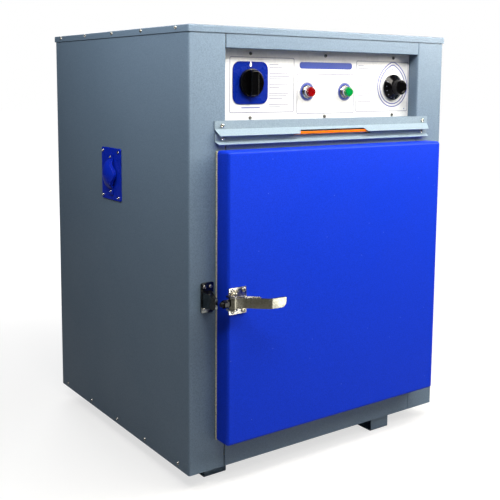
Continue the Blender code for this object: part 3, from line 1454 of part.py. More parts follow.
def latch_body():
    left = DOOR_LEFT_X + LATCH_PLATE_INSET
    centre = (left + LATCH_PLATE_WIDTH / 2, LATCH_Z)
    back = DOOR_FRONT_Y - FIT_GAP
    front = back - LATCH_PLATE_SHEET
    outline = rounded_rectangle(centre, LATCH_PLATE_WIDTH, LATCH_PLATE_HEIGHT, LATCH_PLATE_RADIUS, BEND_STEPS)
    plate = prism("latch_body", outline, "y", front, back, nickel())
    x = LATCH_AXIS.x
    y = LATCH_AXIS.y
    reach = LATCH_BARREL_RADIUS
    ear = [
        (x - reach, y),
        (x - reach, front),
        (left, front + LATCH_PLATE_SHEET / 2),
        (x + LATCH_EAR_WIDTH, front + LATCH_PLATE_SHEET / 2),
        (x + LATCH_EAR_WIDTH, front),
        (x + reach, y),
    ]
    for step in range(1, CORNER_STEPS):
        angle = math.pi * step / CORNER_STEPS
        ear.append((x + reach * math.cos(angle), y - reach * math.sin(angle)))
    ears = []
    for way in (-1, 1):
        near = LATCH_Z + way * (LEVER_HEIGHT / 2 + FIT_GAP)
        ears.append(prism("ear", ear, "z", near, near + way * LATCH_EAR_SHEET, steel()))
    joined(plate, gathered("join_latch_ears", ears, steel()))
    top = LATCH_Z + LATCH_PLATE_HEIGHT
    low = LATCH_Z - LATCH_PLATE_HEIGHT
    return drilled(plate, "cut_latch_bore", (x, y), "z", LATCH_PIN_RADIUS + FIT_GAP, low, top)


def latch_pin():
    reach = LEVER_HEIGHT / 2 + FIT_GAP + LATCH_EAR_SHEET + LATCH_PIN_HEAD
    outline = circle((LATCH_AXIS.x, LATCH_AXIS.y), LATCH_PIN_RADIUS, SMALL_ROUND_STEPS)
    return prism("latch_pin", outline, "z", LATCH_Z - reach, LATCH_Z + reach, steel(), smooth=True)


# A point of the lever in plan, measured from the door's left edge and front face.
def door_point(inset, out):
    return Vector((DOOR_LEFT_X + inset, DOOR_FRONT_Y - out))


def latch_handle():
    x = LATCH_AXIS.x
    y = LATCH_AXIS.y
    low = LATCH_Z - LEVER_HEIGHT / 2
    high = LATCH_Z + LEVER_HEIGHT / 2
    outer = [
        door_point(LATCH_PIVOT_INSET, LATCH_PIVOT_OUT + LATCH_BARREL_RADIUS - LEVER_SHEET / 2),
        door_point(LEVER_CRANK_INSET, LEVER_CRANK_OUT + LEVER_SHEET),
        door_point(LEVER_BEND_INSET, LEVER_BEND_OUT + LEVER_SHEET),
        door_point(LEVER_TIP_INSET, LEVER_TIP_OUT),
    ]
    inner = [
        door_point(LEVER_TIP_INSET, LEVER_TIP_OUT - LEVER_SHEET),
        door_point(LEVER_BEND_INSET, LEVER_BEND_OUT),
        door_point(LEVER_CRANK_INSET, LEVER_CRANK_OUT - LEVER_ROOT_DEPTH / 2),
        door_point(LATCH_PIVOT_INSET, LATCH_PIVOT_OUT - LEVER_SHEET / 2),
    ]
    outline = rounded_path(outer, LEVER_ROOT_DEPTH, CORNER_STEPS)
    outline += rounded_path(inner, LEVER_ROOT_DEPTH, CORNER_STEPS)
    outline = [tuple(point) for point in outline]
    lever = prism("latch_handle", outline, "z", low, high, nickel(), smooth=True)
    tip = DOOR_LEFT_X + LEVER_TIP_INSET
    start = x - LATCH_BARREL_RADIUS
    corner = rounded_path([(start, low), (tip, low), (tip, high)], LEVER_TIP_RADIUS, CORNER_STEPS)
    view = [tuple(point) for point in corner] + [(start, high)]
    front = DOOR_FRONT_Y - LEVER_TIP_OUT - CUT_SPARE
    kept_inside(lever, prism("keep_lever_outline", view, "y", DOOR_FRONT_Y, front, steel()))
    ring = circle((x, y), LATCH_BARREL_RADIUS, ROUND_STEPS)
    joined(lever, prism("join_latch_barrel", ring, "z", low, high, steel()))
    radius = LATCH_PIN_RADIUS + FIT_GAP
    return drilled(lever, "cut_lever_bore", (x, y), "z", radius, low - CUT_SPARE, high + CUT_SPARE)


def latch_bolt():
    end = -LATCH_BARREL_RADIUS - FIT_GAP
    tip = end - BOLT_LENGTH
    profile = [
        (0, tip),
        (BOLT_RADIUS - BOLT_TIP_CHAMFER, tip),
        (BOLT_RADIUS, tip + BOLT_TIP_CHAMFER),
        (BOLT_RADIUS, end),
        (0, end),
    ]
    centre = LATCH_AXIS + Vector((0, BOLT_OFFSET, 0))
    return turned("latch_bolt", profile, centre, "x", nickel(), steps=SMALL_ROUND_STEPS)


def latch_nut():
    centre = LATCH_AXIS + Vector((0, BOLT_OFFSET, 0))
    end = centre.x - LATCH_BARREL_RADIUS - NUT_SETBACK
    outline = circle((centre.y, centre.z), NUT_RADIUS, NUT_SIDES, math.pi / NUT_SIDES)
    nut = prism("latch_nut", outline, "x", end - NUT_LENGTH, end, black_plastic())
    radius = BOLT_RADIUS + FIT_GAP
    start = end - NUT_LENGTH - CUT_SPARE
    return drilled(nut, "cut_nut_bore", (centre.y, centre.z), "x", radius, start, end + CUT_SPARE)


def latch_keeper():
    left = DOOR_LEFT_X - KEEPER_GAP - KEEPER_WIDTH
    middle_z = LATCH_Z + KEEPER_DROP
    centre = (left + KEEPER_WIDTH / 2, middle_z)
    back = FRONT_Y - FIT_GAP
    front = back - KEEPER_SHEET
    outline = rounded_rectangle(centre, KEEPER_WIDTH, KEEPER_HEIGHT, KEEPER_RADIUS, BEND_STEPS)
    keeper = prism("latch_keeper", outline, "y", front, back, dark_nickel())
    root = left + KEEPER_RADIUS / 2
    tip_right = DOOR_LEFT_X - NOSE_TIP_GAP
    tip_front = DOOR_FRONT_Y - NOSE_OUT
    bury = back - KEEPER_SHEET / 2
    plan = [
        (root, bury),
        (root, front - NOSE_RISE),
        (tip_right - NOSE_TIP_WIDTH, tip_front),
        (tip_right, tip_front),
        (tip_right, tip_front + NOSE_RISE),
        (root + NOSE_ROOT_WIDTH, bury),
    ]
    low = LATCH_Z - NOSE_ROOT_HEIGHT / 2
    nose = prism("join_keeper_nose", plan, "z", low, low + NOSE_ROOT_HEIGHT, steel())
    half_root = NOSE_ROOT_HEIGHT / 2
    half_tip = NOSE_TIP_HEIGHT / 2
    side = [
        (bury + CUT_SPARE, LATCH_Z - half_root),
        (tip_front - CUT_SPARE, LATCH_Z - half_tip),
        (tip_front - CUT_SPARE, LATCH_Z + half_tip),
        (bury + CUT_SPARE, LATCH_Z + half_root),
    ]
    wedge = prism("keep_nose_taper", side, "x", left - CUT_SPARE, left + KEEPER_WIDTH + CUT_SPARE, steel())
    kept_inside(nose, wedge)
    return joined(keeper, nose)


def clear_scene():
    for thing in list(bpy.data.objects):
        bpy.data.objects.remove(thing)


def build_cabinet():
    side_panel("left_side_panel", False, LEFT_STILE_WIDTH)
    side_panel("right_side_panel", True, RIGHT_STILE_WIDTH)
    top_cover()
    back_panel()
    base_pan()
    front_rails()
    mouth_frame()
    divider_panel()
    feet()
    cable_gland()
    terminal_block()


def build_chamber():
    chamber_liner()
    chamber_roof()
    insulation_jacket()
    shelf_runner("shelf_runner_left", -1)
    shelf_runner("shelf_runner_right", 1)
    shelf("shelf_upper", UPPER_LEDGE)
    shelf("shelf_lower", LOWER_LEDGE)
    heater("heater_left", -1)
    heater("heater_right", 1)
    heater_cover()


def build_controls():
    control_fascia()
    thermometer_guard()
    drip_rail()
    thermometer()
    heat_selector_plate()
    heat_selector_knob()
    heat_selector_switch()
    thermostat_dial()
    thermostat_body()
    thermostat_bulb()
    indicator_lamp("red", RED_LAMP_X, red_lens())
    indicator_lamp("green", GREEN_LAMP_X, green_lens())
    for where, side in (("left", -1), ("right", 1)):
        handle_plate(where + "_handle_plate", side)
        handle_grip(where + "_handle_grip", side)


def build_door():
    pieces = [door_outer(), door_inner_panel(), door_insulation(), door_gasket()]
    pieces += [latch_body(), latch_pin()]
    lever = [latch_handle(), latch_bolt(), latch_nut()]
    for where, share in zip(("lower", "upper"), HINGE_HEIGHT_SHARES):
        pieces.append(hinge(where, share))
    latch_keeper()
    turns_about(HINGE_AXIS, pieces)
    turns_about(LATCH_AXIS, lever)
    door_carrier = carried_by("door_carrier", HINGE_AXIS, pieces)
    lever_carrier = carried_by("lever_carrier", LATCH_AXIS, lever)
    lever_carrier.parent = door_carrier
    lever_carrier.matrix_parent_inverse = Matrix.Translation(HINGE_AXIS).inverted()


def main():
    clear_scene()
    bpy.context.scene.unit_settings.system = "METRIC"
    build_cabinet()
    build_chamber()
    build_controls()
    build_door()


main()
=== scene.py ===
import json
import math

import bpy
from mathutils import Matrix, Vector
from mathutils.bvhtree import BVHTree


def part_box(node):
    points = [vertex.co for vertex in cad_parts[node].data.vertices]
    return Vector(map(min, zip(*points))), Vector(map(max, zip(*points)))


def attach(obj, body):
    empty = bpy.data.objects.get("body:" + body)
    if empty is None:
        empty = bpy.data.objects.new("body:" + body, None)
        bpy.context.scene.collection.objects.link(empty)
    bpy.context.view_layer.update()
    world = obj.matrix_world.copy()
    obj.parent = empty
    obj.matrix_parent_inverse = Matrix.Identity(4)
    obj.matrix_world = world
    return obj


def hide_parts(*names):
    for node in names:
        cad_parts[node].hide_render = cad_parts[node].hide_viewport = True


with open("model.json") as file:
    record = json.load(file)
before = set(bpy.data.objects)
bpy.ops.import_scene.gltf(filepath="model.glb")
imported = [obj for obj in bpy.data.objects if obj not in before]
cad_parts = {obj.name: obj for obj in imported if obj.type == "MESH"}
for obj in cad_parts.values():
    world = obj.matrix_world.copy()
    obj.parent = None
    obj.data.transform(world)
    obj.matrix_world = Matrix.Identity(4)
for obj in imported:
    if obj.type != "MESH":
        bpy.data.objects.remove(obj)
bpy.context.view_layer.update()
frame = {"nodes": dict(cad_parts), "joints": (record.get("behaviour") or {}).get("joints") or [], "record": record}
nodes = frame["nodes"]
joints = {joint["name"]: joint for joint in frame["joints"]}
bodies = frame["record"]["behaviour"]["bodies"]
bodyOf = {name: body for body, names in bodies.items() for name in names}
left, front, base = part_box("left_side_panel")[0]
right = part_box("right_side_panel")[1].x


# Working with the selection

def clearSelection():
    if bpy.context.object and bpy.context.object.mode != "OBJECT":
        bpy.ops.object.mode_set(mode="OBJECT")
    bpy.ops.object.select_all(action="DESELECT")


def pickOut(piece):
    clearSelection()
    piece.select_set(True)
    bpy.context.view_layer.objects.active = piece


def choose(piece, kind, test):
    # leaves the piece in edit mode with the faces or edges that pass the test selected
    pickOut(piece)
    bpy.ops.object.mode_set(mode="EDIT")
    bpy.ops.mesh.select_mode(type=kind)
    bpy.ops.mesh.select_all(action="DESELECT")
    bpy.ops.object.mode_set(mode="OBJECT")
    if kind == "FACE":
        for face in piece.data.polygons:
            face.select = test(face.center, face.normal)
    else:
        points = piece.data.vertices
        for edge in piece.data.edges:
            edge.select = test(points[edge.vertices[0]].co, points[edge.vertices[1]].co)
    bpy.ops.object.mode_set(mode="EDIT")


def editDone():
    bpy.ops.object.mode_set(mode="OBJECT")


def applyModifiers(piece):
    pickOut(piece)
    for modifier in list(piece.modifiers):
        bpy.ops.object.modifier_apply(modifier=modifier.name)


def roundEdges(piece, width, segments=2, angle=30):
    rounding = piece.modifiers.new("rounding", "BEVEL")
    rounding.width = width
    rounding.segments = segments
    rounding.limit_method = "ANGLE"
    rounding.angle_limit = math.radians(angle)
    applyModifiers(piece)


def fuse(piece, tool, operation="UNION"):
    step = piece.modifiers.new("fuse", "BOOLEAN")
    step.operation = operation
    step.object = tool
    applyModifiers(piece)
    bpy.data.objects.remove(tool)


def gather(pieces):
    clearSelection()
    for piece in pieces:
        piece.select_set(True)
    bpy.context.view_layer.objects.active = pieces[0]
    bpy.ops.object.join()
    return pieces[0]


def settle(piece, name, finish, body, replaced=(), smooth=35):
    # the piece's place goes into its mesh, and it rides on its body
    pickOut(piece)
    bpy.ops.object.transform_apply(location=True, rotation=True, scale=True)
    if smooth:
        bpy.ops.object.shade_smooth_by_angle(angle=math.radians(smooth))
        evening = piece.modifiers.new("evening", "WEIGHTED_NORMAL")  # flat faces stay flat beside eased edges
        evening.keep_sharp = True
        applyModifiers(piece)
    piece.name = piece.data.name = name
    piece.data.materials.clear()
    piece.data.materials.append(finish)
    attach(piece, body)
    if replaced:
        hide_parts(*replaced)
    return piece


def copyOf(piece, matrix):
    twin = piece.copy()
    twin.data = piece.data.copy()
    bpy.context.scene.collection.objects.link(twin)
    twin.matrix_world = matrix
    return twin


# Starting shapes

def addBlock(centre, size):
    clearSelection()
    bpy.ops.mesh.primitive_cube_add(size=1, location=centre)
    block = bpy.context.object
    block.scale = size
    bpy.ops.object.transform_apply(location=False, rotation=False, scale=True)
    return block


def addRound(centre, radius, depth, sides=48, facing="y"):
    clearSelection()
    turn = {"x": (0, math.pi / 2, 0), "y": (math.pi / 2, 0, 0), "z": (0, 0, 0)}[facing]
    bpy.ops.mesh.primitive_cylinder_add(
        vertices=sides, radius=radius, depth=depth, location=centre, rotation=turn)
    piece = bpy.context.object
    bpy.ops.object.transform_apply(location=False, rotation=True, scale=False)
    return piece


def addDisc(centre, radius, sides):
    # a flat disc facing the front
    clearSelection()
    bpy.ops.mesh.primitive_circle_add(
        vertices=sides, radius=radius, fill_type="NGON", location=centre, rotation=(math.pi / 2, 0, 0))
    disc = bpy.context.object
    bpy.ops.object.transform_apply(location=False, rotation=True, scale=False)
    return disc


def addTurned(centre, rings, sides=48):
    # a disc drawn out ring by ring: pairs of radius and distance out from the centre
    radius, out = rings[0]
    piece = addDisc(Vector(centre) + Vector((0, -out, 0)), radius, sides)
    bpy.ops.object.transform_apply(location=True, rotation=False, scale=False)
    bpy.ops.object.mode_set(mode="EDIT")
    bpy.ops.mesh.select_mode(type="FACE")
    bpy.ops.mesh.select_all(action="SELECT")
    for nextRadius, nextOut in rings[1:]:
        shift = Vector((0, out - nextOut, 0))
        bpy.ops.mesh.extrude_region_move(TRANSFORM_OT_translate={"value": shift})
        spot = Vector(centre) + Vector((0, -nextOut, 0))
        share = nextRadius / radius
        bpy.ops.transform.resize(value=(share, share, share), center_override=spot)
        radius, out = nextRadius, nextOut
    bpy.ops.mesh.select_all(action="SELECT")
    bpy.ops.mesh.normals_make_consistent(inside=False)
    editDone()
    return piece


def addOutline(centre, width, height, radius, segments=6):
    # a flat sheet facing the front, with rounded corners
    clearSelection()
    bpy.ops.mesh.primitive_plane_add(size=1, location=centre, rotation=(math.pi / 2, 0, 0))
    sheet = bpy.context.object
    sheet.scale = (width, height, 1)
    bpy.ops.object.transform_apply(location=False, rotation=True, scale=True)
    bpy.ops.object.mode_set(mode="EDIT")
    bpy.ops.mesh.select_all(action="SELECT")
    bpy.ops.mesh.bevel(offset=radius, segments=segments, affect="VERTICES")
    editDone()
    return sheet


def thicken(sheet, depth):
    # draws a flat sheet out towards the front
    choose(sheet, "FACE", lambda middle, normal: True)
    bpy.ops.mesh.extrude_region_move(TRANSFORM_OT_translate={"value": (0, -depth, 0)})
    bpy.ops.mesh.select_all(action="SELECT")
    bpy.ops.mesh.normals_make_consistent(inside=False)
    editDone()
    return sheet


def softCopy(node):
    # a node's own shape, with its triangles merged into whole faces
    piece = copyOf(nodes[node], Matrix.Identity(4))
    piece.parent = None
    for key in list(piece.keys()):
        del piece[key]
    pickOut(piece)
    if piece.data.has_custom_normals:
        bpy.ops.mesh.customdata_custom_splitnormals_clear()
    bpy.ops.object.mode_set(mode="EDIT")
    bpy.ops.mesh.select_all(action="SELECT")
    bpy.ops.mesh.remove_doubles(threshold=0.00001)
    bpy.ops.mesh.dissolve_limited(angle_limit=math.radians(1))
    bpy.ops.mesh.normals_make_consistent(inside=False)
    editDone()
    return piece


def easeNode(node, finish, width):
    # the same shape with its corners eased and its bends smooth
    piece = softCopy(node)
    if width:
        roundEdges(piece, width, angle=50)
    return settle(piece, "eased_" + node, finish, bodyOf[node], (node,))


# Finishes

def startFinish(name):
    finish = bpy.data.materials.new(name)
    finish.use_nodes = True
    tree = finish.node_tree
    coords = tree.nodes.new("ShaderNodeTexCoord").outputs["Object"]
    return finish, tree, tree.nodes["Principled BSDF"], coords


def noiseField(tree, coords, grain, stretch=(1, 1, 1)):
    # grain is the size of the pattern in metres
    mapping = tree.nodes.new("ShaderNodeMapping")
    mapping.inputs["Scale"].default_value = stretch
    tree.links.new(coords, mapping.inputs["Vector"])
    noise = tree.nodes.new("ShaderNodeTexNoise")
    noise.inputs["Scale"].default_value = 1 / grain
    noise.inputs["Detail"].default_value = 3
    tree.links.new(mapping.outputs["Vector"], noise.inputs["Vector"])
    return noise.outputs["Fac"]


def ranged(tree, field, low, high, fieldLow=0.35, fieldHigh=0.65):
    step = tree.nodes.new("ShaderNodeMapRange")
    step.inputs["From Min"].default_value = fieldLow
    step.inputs["From Max"].default_value = fieldHigh
    step.inputs["To Min"].default_value = low
    step.inputs["To Max"].default_value = high
    tree.links.new(field, step.inputs["Value"])
    return step.outputs["Result"]


def blended(tree, field, first, second):
    step = tree.nodes.new("ShaderNodeMix")
    step.data_type = "RGBA"
    tree.links.new(field, step.inputs["Factor"])
    for socket, colour in ((step.inputs[6], first), (step.inputs[7], second)):
        if isinstance(colour, bpy.types.NodeSocket):
            tree.links.new(colour, socket)
        else:
            socket.default_value = (*colour, 1)
    return step.outputs[2]


def bumped(tree, shader, field, strength, depth):
    bump = tree.nodes.new("ShaderNodeBump")
    bump.inputs["Strength"].default_value = strength
    bump.inputs["Distance"].default_value = depth
    tree.links.new(field, bump.inputs["Height"])
    tree.links.new(bump.outputs["Normal"], shader.inputs["Normal"])


def mixedFinish(name, look):
    # two close colours in a fine grain, a slow change of gloss, and a fine relief
    finish, tree, shader, coords = startFinish(name)
    grain = noiseField(tree, coords, look["grain"], stretch=look.get("stretch", (1, 1, 1)))
    cloud = noiseField(tree, coords, look["cloud"])
    shade = ranged(tree, grain, 0, 1, fieldLow=0.3, fieldHigh=0.7)
    colour = blended(tree, shade, look["dark"], look["light"])
    if "stain" in look:
        colour = blended(tree, ranged(tree, cloud, 0, look["stainShare"]), colour, look["stain"])
    tree.links.new(colour, shader.inputs["Base Color"])
    tree.links.new(ranged(tree, cloud, *look["roughness"]), shader.inputs["Roughness"])
    shader.inputs["Metallic"].default_value = look.get("metallic", 0)
    for socket, value in look.get("sockets", {}).items():
        shader.inputs[socket].default_value = value
    bumped(tree, shader, grain, look["relief"], look["reliefDepth"])
    return finish


dust = {"spacing": 0.095, "size": 0.0009, "solidShare": 0.6, "colour": (0.08, 0.15, 0.72)}


def addDust(finish):
    # a few tiny light specks on the surfaces that face the front, as dust leaves on a dark paint
    tree = finish.node_tree
    shader = tree.nodes["Principled BSDF"]
    coords = tree.nodes["Texture Coordinate"].outputs["Object"]
    mapping = tree.nodes.new("ShaderNodeMapping")
    mapping.inputs["Rotation"].default_value = (math.pi / 2, 0, 0)
    tree.links.new(coords, mapping.inputs["Vector"])
    cells = tree.nodes.new("ShaderNodeTexVoronoi")
    cells.voronoi_dimensions = "2D"
    cells.inputs["Scale"].default_value = 1 / dust["spacing"]
    tree.links.new(mapping.outputs["Vector"], cells.inputs["Vector"])
    reach = dust["size"] / dust["spacing"]
    speck = ranged(tree, cells.outputs["Distance"], 1, 0, reach * dust["solidShare"], reach)
    source = shader.inputs["Base Color"].links[0].from_socket
    tree.links.new(blended(tree, speck, source, dust["colour"]), shader.inputs["Base Color"])


finishes = {
    "cabinetPaint": mixedFinish("blue grey textured paint", {
        "dark": (0.112, 0.168, 0.236), "light": (0.160, 0.232, 0.318), "grain": 0.0014, "cloud": 0.16,
        "roughness": (0.42, 0.54), "relief": 0.30, "reliefDepth": 0.0004, "sockets": {"Specular IOR Level": 0.55},
    }),
    "stripPaint": mixedFinish("light blue grey textured paint", {
        "dark": (0.190, 0.260, 0.325), "light": (0.255, 0.340, 0.415), "grain": 0.0014, "cloud": 0.10,
        "roughness": (0.40, 0.52), "relief": 0.25, "reliefDepth": 0.0004, "sockets": {"Specular IOR Level": 0.55},
    }),
    "doorPaint": mixedFinish("royal blue textured paint", {
        "dark": (0.004, 0.031, 0.53), "light": (0.008, 0.048, 0.70), "grain": 0.0012, "cloud": 0.12,
        "roughness": (0.38, 0.50), "relief": 0.20, "reliefDepth": 0.0003, "sockets": {"Specular IOR Level": 0.09},
    }),
    "creamEnamel": mixedFinish("cream enamel", {
        "dark": (0.66, 0.670, 0.680), "light": (0.72, 0.730, 0.740), "grain": 0.004, "cloud": 0.05,
        "roughness": (0.24, 0.34), "relief": 0.04, "reliefDepth": 0.0002,
    }),
    "plateBlue": mixedFinish("blue enamelled plate", {
        "dark": (0.001, 0.012, 0.19), "light": (0.002, 0.017, 0.25), "grain": 0.002, "cloud": 0.03,
        "roughness": (0.22, 0.32), "relief": 0.03, "reliefDepth": 0.0002, "sockets": {"Specular IOR Level": 0.2},
    }),
    "handleBlue": mixedFinish("blue handle paint", {
        "dark": (0.002, 0.018, 0.40), "light": (0.004, 0.028, 0.52), "grain": 0.0011, "cloud": 0.03,
        "roughness": (0.24, 0.34), "relief": 0.12, "reliefDepth": 0.0003, "sockets": {"Specular IOR Level": 0.2},
    }),
    "stainless": mixedFinish("brushed stainless sheet", {
        "dark": (0.50, 0.50, 0.49), "light": (0.66, 0.66, 0.65), "grain": 0.0012, "cloud": 0.30,
        "stretch": (0.03, 1, 1), "roughness": (0.31, 0.36), "relief": 0.05, "reliefDepth": 0.0002, "metallic": 1,
    }),
    "zincSteel": mixedFinish("bright zinc plating", {
        "dark": (0.50, 0.52, 0.55), "light": (0.66, 0.67, 0.68), "grain": 0.006, "cloud": 0.03,
        "roughness": (0.24, 0.40), "relief": 0.06, "reliefDepth": 0.0002, "metallic": 1,
    }),
    "nickel": mixedFinish("bright nickel plating", {
        "dark": (0.58, 0.56, 0.50), "light": (0.78, 0.76, 0.70), "grain": 0.0025, "cloud": 0.02,
        "roughness": (0.10, 0.22), "relief": 0.05, "reliefDepth": 0.0002, "metallic": 1,
    }),
    "dullNickel": mixedFinish("dull nickel plating", {
        "dark": (0.12, 0.12, 0.11), "light": (0.30, 0.295, 0.27), "grain": 0.0018, "cloud": 0.015,
        "roughness": (0.22, 0.40), "relief": 0.08, "reliefDepth": 0.0002, "metallic": 1,
    }),
    # nickel painted darker and olive: painted shade that stands in for the dim surroundings the latch lever
    # reflects
    "leverNickel": mixedFinish("olive nickel with painted dim reflection", {
        "dark": (0.36, 0.35, 0.27), "light": (0.54, 0.52, 0.43), "grain": 0.0030, "cloud": 0.02,
        "roughness": (0.20, 0.29), "relief": 0.05, "reliefDepth": 0.0002, "metallic": 1,
    }),
    "keeperSteel": mixedFinish("charcoal plated steel", {
        "dark": (0.055, 0.060, 0.062), "light": (0.13, 0.135, 0.13), "grain": 0.0020, "cloud": 0.015,
        "roughness": (0.16, 0.30), "relief": 0.08, "reliefDepth": 0.0002, "metallic": 1,
    }),
    "blackPlastic": mixedFinish("black knob plastic", {
        "dark": (0.0008, 0.0008, 0.0010), "light": (0.0022, 0.0022, 0.0026), "grain": 0.002, "cloud": 0.02,
        "roughness": (0.06, 0.11), "relief": 0.03, "reliefDepth": 0.0002, "sockets": {"Specular IOR Level": 0.2},
    }),
    "brownMoulding": mixedFinish("brown moulded phenolic", {
        "dark": (0.045, 0.032, 0.024), "light": (0.085, 0.062, 0.046), "grain": 0.0015, "cloud": 0.02,
        "roughness": (0.40, 0.55), "relief": 0.10, "reliefDepth": 0.0002,
    }),
    "redLens": mixedFinish("clear red plastic", {
        "dark": (0.24, 0.001, 0.002), "light": (0.36, 0.003, 0.005), "grain": 0.002, "cloud": 0.006,
        "roughness": (0.05, 0.10), "relief": 0.04, "reliefDepth": 0.0002,
        "sockets": {"Transmission Weight": 0.35, "Coat Weight": 0.6},
    }),
    "greenLens": mixedFinish("clear green plastic", {
        "dark": (0.0005, 0.26, 0.045), "light": (0.001, 0.38, 0.075), "grain": 0.002, "cloud": 0.006,
        "roughness": (0.05, 0.10), "relief": 0.04, "reliefDepth": 0.0002,
        "sockets": {"Transmission Weight": 0.35, "Coat Weight": 0.6},
    }),
    "orangeGlass": mixedFinish("orange backed glass", {
        "dark": (0.72, 0.120, 0.004), "light": (0.84, 0.165, 0.006), "grain": 0.008, "cloud": 0.02,
        "roughness": (0.12, 0.20), "relief": 0.02, "reliefDepth": 0.0002, "sockets": {"Coat Weight": 0.2},
    }),
    "khakiGasket": mixedFinish("khaki sealing cord", {
        "dark": (0.34, 0.32, 0.20), "light": (0.70, 0.68, 0.50), "grain": 0.0018, "cloud": 0.02,
        "roughness": (0.75, 0.92), "relief": 0.6, "reliefDepth": 0.0005,
    }),
    "heaterSheath": mixedFinish("heat browned tube", {
        "dark": (0.10, 0.08, 0.07), "light": (0.24, 0.20, 0.17), "grain": 0.003, "cloud": 0.02,
        "stain": (0.16, 0.09, 0.16), "stainShare": 0.5,
        "roughness": (0.38, 0.58), "relief": 0.10, "reliefDepth": 0.0002, "metallic": 1,
    }),
    "glassWool": mixedFinish("glass wool", {
        "dark": (0.52, 0.42, 0.18), "light": (0.86, 0.76, 0.42), "grain": 0.003, "cloud": 0.04,
        "stretch": (0.25, 1, 1), "roughness": (0.90, 1.0), "relief": 0.9, "reliefDepth": 0.002,
    }),
    "blackSteel": mixedFinish("blackened steel", {
        "dark": (0.012, 0.012, 0.013), "light": (0.035, 0.035, 0.038), "grain": 0.0015, "cloud": 0.01,
        "roughness": (0.20, 0.34), "relief": 0.06, "reliefDepth": 0.0002, "metallic": 0.6,
    }),
    "blueInk": mixedFinish("blue print", {
        "dark": (0.020, 0.045, 0.25), "light": (0.030, 0.060, 0.32), "grain": 0.001, "cloud": 0.02,
        "roughness": (0.32, 0.42), "relief": 0.03, "reliefDepth": 0.0001,
    }),
    "violetInk": mixedFinish("blue violet print", {
        "dark": (0.085, 0.10, 0.33), "light": (0.12, 0.14, 0.40), "grain": 0.001, "cloud": 0.02,
        "roughness": (0.32, 0.42), "relief": 0.03, "reliefDepth": 0.0001,
    }),
    "paleInk": mixedFinish("pale grey blue print", {
        "dark": (0.20, 0.21, 0.31), "light": (0.25, 0.26, 0.36), "grain": 0.001, "cloud": 0.02,
        "roughness": (0.32, 0.42), "relief": 0.03, "reliefDepth": 0.0001,
    }),
    "whiteInk": mixedFinish("white print", {
        "dark": (0.82, 0.84, 0.86), "light": (0.90, 0.91, 0.92), "grain": 0.001, "cloud": 0.02,
        "roughness": (0.32, 0.42), "relief": 0.03, "reliefDepth": 0.0001,
    }),
}
addDust(finishes["doorPaint"])
print("stage: finishes mixed", len(finishes))


# Pieces that keep their node's own shape, with the width of their eased edges

easedNodes = {
    "cabinetPaint cabinet_paint": {
        "left_side_panel": 0, "right_side_panel": 0, "top_cover": 0, "front_top_rail": 0, "front_mid_rail": 0,
        "front_bottom_rail": 0, "foot_front_left": 0.0003, "foot_front_right": 0.0003, "foot_rear_left": 0.0003,
        "foot_rear_right": 0.0003,
    },
    "stripPaint cabinet_paint": {"thermometer_guard": 0.0003, "drip_rail": 0.0003},
    "doorPaint door_paint": {"door_outer": 0},
    "handleBlue door_paint": {"left_handle_plate": 0.0004, "right_handle_plate": 0.0004},
    "nickel nickel": {
        "latch_body": 0.0005, "hinge_frame_leaf_lower": 0.0004, "hinge_frame_leaf_upper": 0.0004,
        "hinge_door_leaf_lower": 0.0004, "hinge_door_leaf_upper": 0.0004, "hinge_pin_lower": 0.0006,
        "hinge_pin_upper": 0.0006, "latch_pin": 0.0005,
    },
    # the latch lever gets the nickel with its painted darker reflection
    "leverNickel nickel": {"latch_handle": 0.0006},
    "keeperSteel dark_nickel": {"latch_keeper": 0.0006},
    "stainless stainless": {
        "door_inner_panel": 0.0003, "shelf_runner_left": 0.0003, "shelf_runner_right": 0.0003,
        "heater_cover": 0.0002,
    },
    "orangeGlass orange_glass": {"thermometer": 0},
    "heaterSheath heater_sheath": {"heater_left": 0, "heater_right": 0},
    "blackPlastic black_plastic": {"cable_gland": 0.0005, "latch_nut": 0.0006},
    "khakiGasket gasket": {"door_gasket": 0.0007},
    "plateBlue plate_blue": {"heat_selector_plate": 0.0002},
}
eased = {}
for finishAndSlot, widths in easedNodes.items():
    finishName, slotName = finishAndSlot.split()
    for node, width in widths.items():
        eased[node] = easeNode(node, finishes[finishName], width)
print("stage: nodes eased", len(eased))

# the thermometer is orange only where it shows at the front, and a bare stem behind
orangeDepth = 0.004
stem = eased["thermometer"]
stem.data.materials.append(finishes["zincSteel"])
choose(stem, "FACE", lambda place, normal: place.y > front + orangeDepth)
stem.active_material_index = 1
bpy.ops.object.material_slot_assign()
editDone()

plainNodes = {
    "cabinetPaint": ("back_panel", "base_pan"),
    "creamEnamel": ("control_fascia",),
    "stainless": ("mouth_frame", "chamber_liner", "chamber_roof"),
    "zincSteel": ("divider_panel", "thermostat_bulb"),
    "glassWool": ("insulation_jacket", "door_insulation"),
    "brownMoulding": ("heat_selector_switch", "thermostat_body", "terminal_block"),
}
for finishName, members in plainNodes.items():
    for node in members:
        nodes[node].data.materials.clear()
        nodes[node].data.materials.append(finishes[finishName])
print("stage: plain nodes painted")


# Grips of the side handles, with their edges turned in towards the cabinet

grip = {"turnedIn": 0.0040, "rim": 0.0016, "clear": 0.0046, "ease": 0.0005}


def makeGrip(face, side):
    name = face + "_handle_grip"
    low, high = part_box(name)
    foot = high.x if side < 0 else low.x
    piece = softCopy(name)
    choose(piece, "FACE", lambda place, normal:
           -side * normal.x > 0.3 and side * (place.x - foot) > grip["clear"])
    bpy.ops.transform.translate(value=(-side * grip["turnedIn"], 0, 0))
    bpy.ops.mesh.inset(thickness=grip["rim"], depth=0)
    bpy.ops.transform.translate(value=(side * grip["turnedIn"], 0, 0))
    editDone()
    roundEdges(piece, grip["ease"], angle=50)
    settle(piece, "eased_" + name, finishes["handleBlue"], "cabinet", (name,))


makeGrip("left", -1)
makeGrip("right", 1)
print("stage: grips")


# Screws, modelled once facing the front and copied

